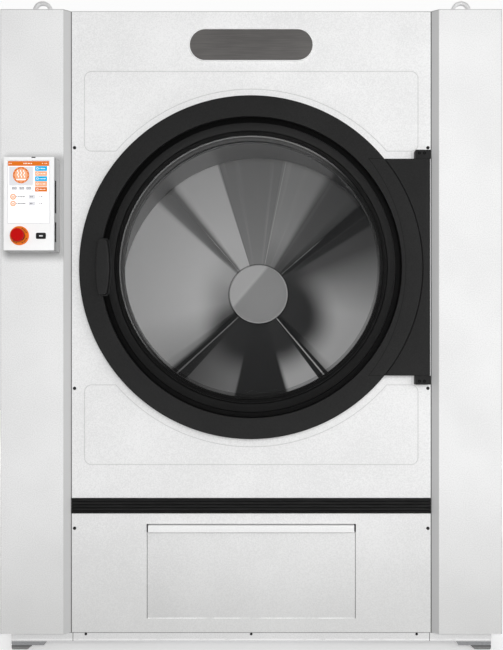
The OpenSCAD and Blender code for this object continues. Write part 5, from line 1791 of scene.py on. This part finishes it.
def side_rivet(centre, side, radius):
    """A rivet head that stands out along X."""
    vertices = []
    for share, rise in RIVET:
        reach = max(radius * share, 0.0001)
        for i in range(RIVET_STEPS):
            t = math.tau * i / RIVET_STEPS
            vertices.append((centre[0] + side * rise, centre[1] + reach * math.cos(t),
                             centre[2] + reach * math.sin(t)))
    faces = skin(len(RIVET), RIVET_STEPS, False, True) + [tuple(range(RIVET_STEPS))]
    made = mesh_object("rivet", vertices, faces)
    tidy_normals(made, 60)
    return made


# Stage and light

CAMERA_PLACE = (0.066, -3.35, 0.951)
CAMERA_SHIFT = (-0.0323, 0.0288)
CAMERA_LENS = 43.97
FLOOR_HALF = 8


def make_stage():
    """A pale floor, a pale surround, soft lights and the camera."""
    scene = bpy.context.scene
    sizes = scene.dryer_sizes
    half = FLOOR_HALF
    floor = mesh_object("floor", [(-half, -half, 0), (half, -half, 0), (half, half, 0), (-half, half, 0)],
                        [(0, 1, 2, 3)])
    floor.data.materials.append(floor_finish())
    floor.visible_diffuse = False
    spot_z = DRUM_Z + 0.01
    lights = [
        area_light("key", (0.3, -5.0, 1.3), (0.1, -0.9, 1.25), 2.2, sizes.key_power),
        area_light("fill", (2.6, -4.2, 2.0), (0.3, -0.9, 1.3), 2.0, sizes.fill_power),
        area_light("top", (0, 1.2, 4.6), (0, 0.2, 1.0), 3.0, 30),
        area_light("rear_left", (-3.6, 3.4, 2.4), (-0.3, 0.6, 1.0), 2.4, sizes.rear_power),
        area_light("rear_right", (3.8, 2.8, 2.4), (0.3, 0.4, 1.0), 2.4, sizes.rear_power),
        lamp("drum_spot", "SPOT", (0.02, -2.75, spot_z), sizes.drum_power, (0, 0.4, spot_z),
             shadow_soft_size=0.05, spot_size=math.radians(25), spot_blend=0.06),
        lamp("drum_lamp", "POINT", (0, -0.15, DRUM_Z), sizes.wall_power, shadow_soft_size=0.12),
    ]
    key, *_, drum_spot, drum_lamp = lights
    for light in (key, drum_spot, drum_lamp):
        light.visible_glossy = False
    for light in (drum_spot, drum_lamp):
        light.visible_camera = False
    make_surround(sizes.world_strength)
    lens = bpy.data.cameras.new("camera")
    camera = placed("camera", lens)
    camera.location = CAMERA_PLACE
    camera.rotation_euler = (math.radians(90), 0, 0)
    lens.sensor_width = 36.0
    lens.lens = CAMERA_LENS
    lens.shift_x, lens.shift_y = CAMERA_SHIFT
    lens.clip_start = 0.05
    lens.dof.use_dof = False
    scene.camera = camera
    scene.view_settings.view_transform = "Standard"


def make_surround(lit):
    """A pale surround at full strength for the camera, and at the given one for what it lights."""
    world = bpy.data.worlds.new("surround")
    bpy.context.scene.world = world
    world.use_nodes = True
    nodes, links = world.node_tree.nodes, world.node_tree.links
    ground = nodes["Background"]
    ground.inputs["Color"].default_value = rgba(tone(252))
    seen = nodes.new("ShaderNodeLightPath").outputs["Is Camera Ray"]
    strength = nodes.new("ShaderNodeMapRange")
    strength.inputs["To Min"].default_value = lit
    links.new(seen, strength.inputs["Value"])
    links.new(strength.outputs["Result"], ground.inputs["Strength"])


@finish
def floor_finish():
    """A pale floor that glows a little, more so far away."""
    made = Finish("floor_finish", specular_ior_level=0.2, emission_strength=1.0)
    speckle = made.noise(3, 5, 0.6)
    pale = made.mix(speckle * 0.5, tone(240), tone(232))
    x, y, _ = made.axes()
    far = made.band(made.math("SQRT", x * x + y * y), 2.4, 6.0)
    made.feed("Base Color", pale)
    made.feed("Emission Color", made.mix(far * 0.5 + 0.42, tone(0), pale))
    made.feed("Roughness", speckle * 0.1 + 0.6)
    return made


def lamp(name, kind, place, power, aim=None, **settings):
    """A light at a place, turned towards its aim where it has one."""
    light = bpy.data.lights.new(name, kind)
    light.energy = power
    for setting, value in settings.items():
        setattr(light, setting, value)
    made = placed(name, light)
    made.location = place
    if aim:
        made.rotation_euler = (Vector(aim) - Vector(place)).to_track_quat("-Z", "Y").to_euler()
    return made


def area_light(name, place, aim, size, power):
    """A large round light with soft shadows."""
    return lamp(name, "AREA", place, power, aim, shape="DISK", size=size)


# Operators, panel and run


class DRYER_OT_cabinet(bpy.types.Operator):
    """Dress the cabinet's panels, strip, badge, eyes, screws and base"""

    bl_idname = "dryer.cabinet"
    bl_label = "Cabinet"

    def execute(self, context):
        make_panels()
        make_strip()
        make_badge()
        make_eyes()
        make_panel_screws()
        make_base()
        return {"FINISHED"}


class DRYER_OT_door(bpy.types.Operator):
    """Build the door with its glass, handle and hinge"""

    bl_idname = "dryer.door"
    bl_label = "Door"

    def execute(self, context):
        make_door_ring()
        make_hinge_plate()
        make_inner_ring()
        make_glass_seal()
        make_glass()
        make_handle()
        make_hinge()
        return {"FINISHED"}


class DRYER_OT_drum(bpy.types.Operator):
    """Build the drum and the ring that leads into it"""

    bl_idname = "dryer.drum"
    bl_label = "Drum"

    def execute(self, context):
        make_throat()
        make_shell()
        make_drum_end()
        make_hub()
        return {"FINISHED"}


class DRYER_OT_controls(bpy.types.Operator):
    """Build the control box with its screen, stop and port"""

    bl_idname = "dryer.controls"
    bl_label = "Controls"

    def execute(self, context):
        make_control_box()
        make_screen()
        make_stop()
        make_port()
        return {"FINISHED"}


class DRYER_OT_drawer(bpy.types.Operator):
    """Build the lint drawer's front"""

    bl_idname = "dryer.drawer"
    bl_label = "Drawer"

    def execute(self, context):
        make_drawer_front()
        return {"FINISHED"}


class DRYER_OT_works(bpy.types.Operator):
    """Dress the drive, the air path, the rear and the roof"""

    bl_idname = "dryer.works"
    bl_label = "Works"

    def execute(self, context):
        make_inside()
        make_rear()
        make_roof_details()
        return {"FINISHED"}


class DRYER_OT_stage(bpy.types.Operator):
    """Set up the floor, the light and the camera"""

    bl_idname = "dryer.stage"
    bl_label = "Stage"

    def execute(self, context):
        make_stage()
        return {"FINISHED"}


class DRYER_PT_panel(bpy.types.Panel):
    """Buttons and values of the dryer."""

    bl_label = "Dryer"
    bl_idname = "DRYER_PT_panel"
    bl_space_type = "VIEW_3D"
    bl_region_type = "UI"
    bl_category = "Dryer"

    def draw(self, context):
        for group in (context.scene.dryer_colours, context.scene.dryer_sizes):
            box = self.layout.box()
            for name in group.__annotations__:
                box.prop(group, name)
        for step in STEPS:
            self.layout.operator(step.bl_idname)


STEPS = (
    DRYER_OT_cabinet, DRYER_OT_door, DRYER_OT_drum, DRYER_OT_controls, DRYER_OT_drawer, DRYER_OT_works,
    DRYER_OT_stage,
)
CLASSES = (DryerColours, DryerSizes, *STEPS, DRYER_PT_panel)


def register():
    """Adds the property groups, operators and panel."""
    for kind in CLASSES:
        bpy.utils.register_class(kind)
    bpy.types.Scene.dryer_colours = bpy.props.PointerProperty(type=DryerColours)
    bpy.types.Scene.dryer_sizes = bpy.props.PointerProperty(type=DryerSizes)


def unregister():
    """Takes them away again."""
    del bpy.types.Scene.dryer_sizes
    del bpy.types.Scene.dryer_colours
    for kind in reversed(CLASSES):
        bpy.utils.unregister_class(kind)


def main():
    """Builds the dressed dryer step by step."""
    register()
    random.seed(7)
    bpy.ops.dryer.cabinet()
    bpy.ops.dryer.door()
    bpy.ops.dryer.drum()
    bpy.ops.dryer.controls()
    bpy.ops.dryer.drawer()
    bpy.ops.dryer.works()
    bpy.ops.dryer.stage()


if __name__ == "__main__":
    main()
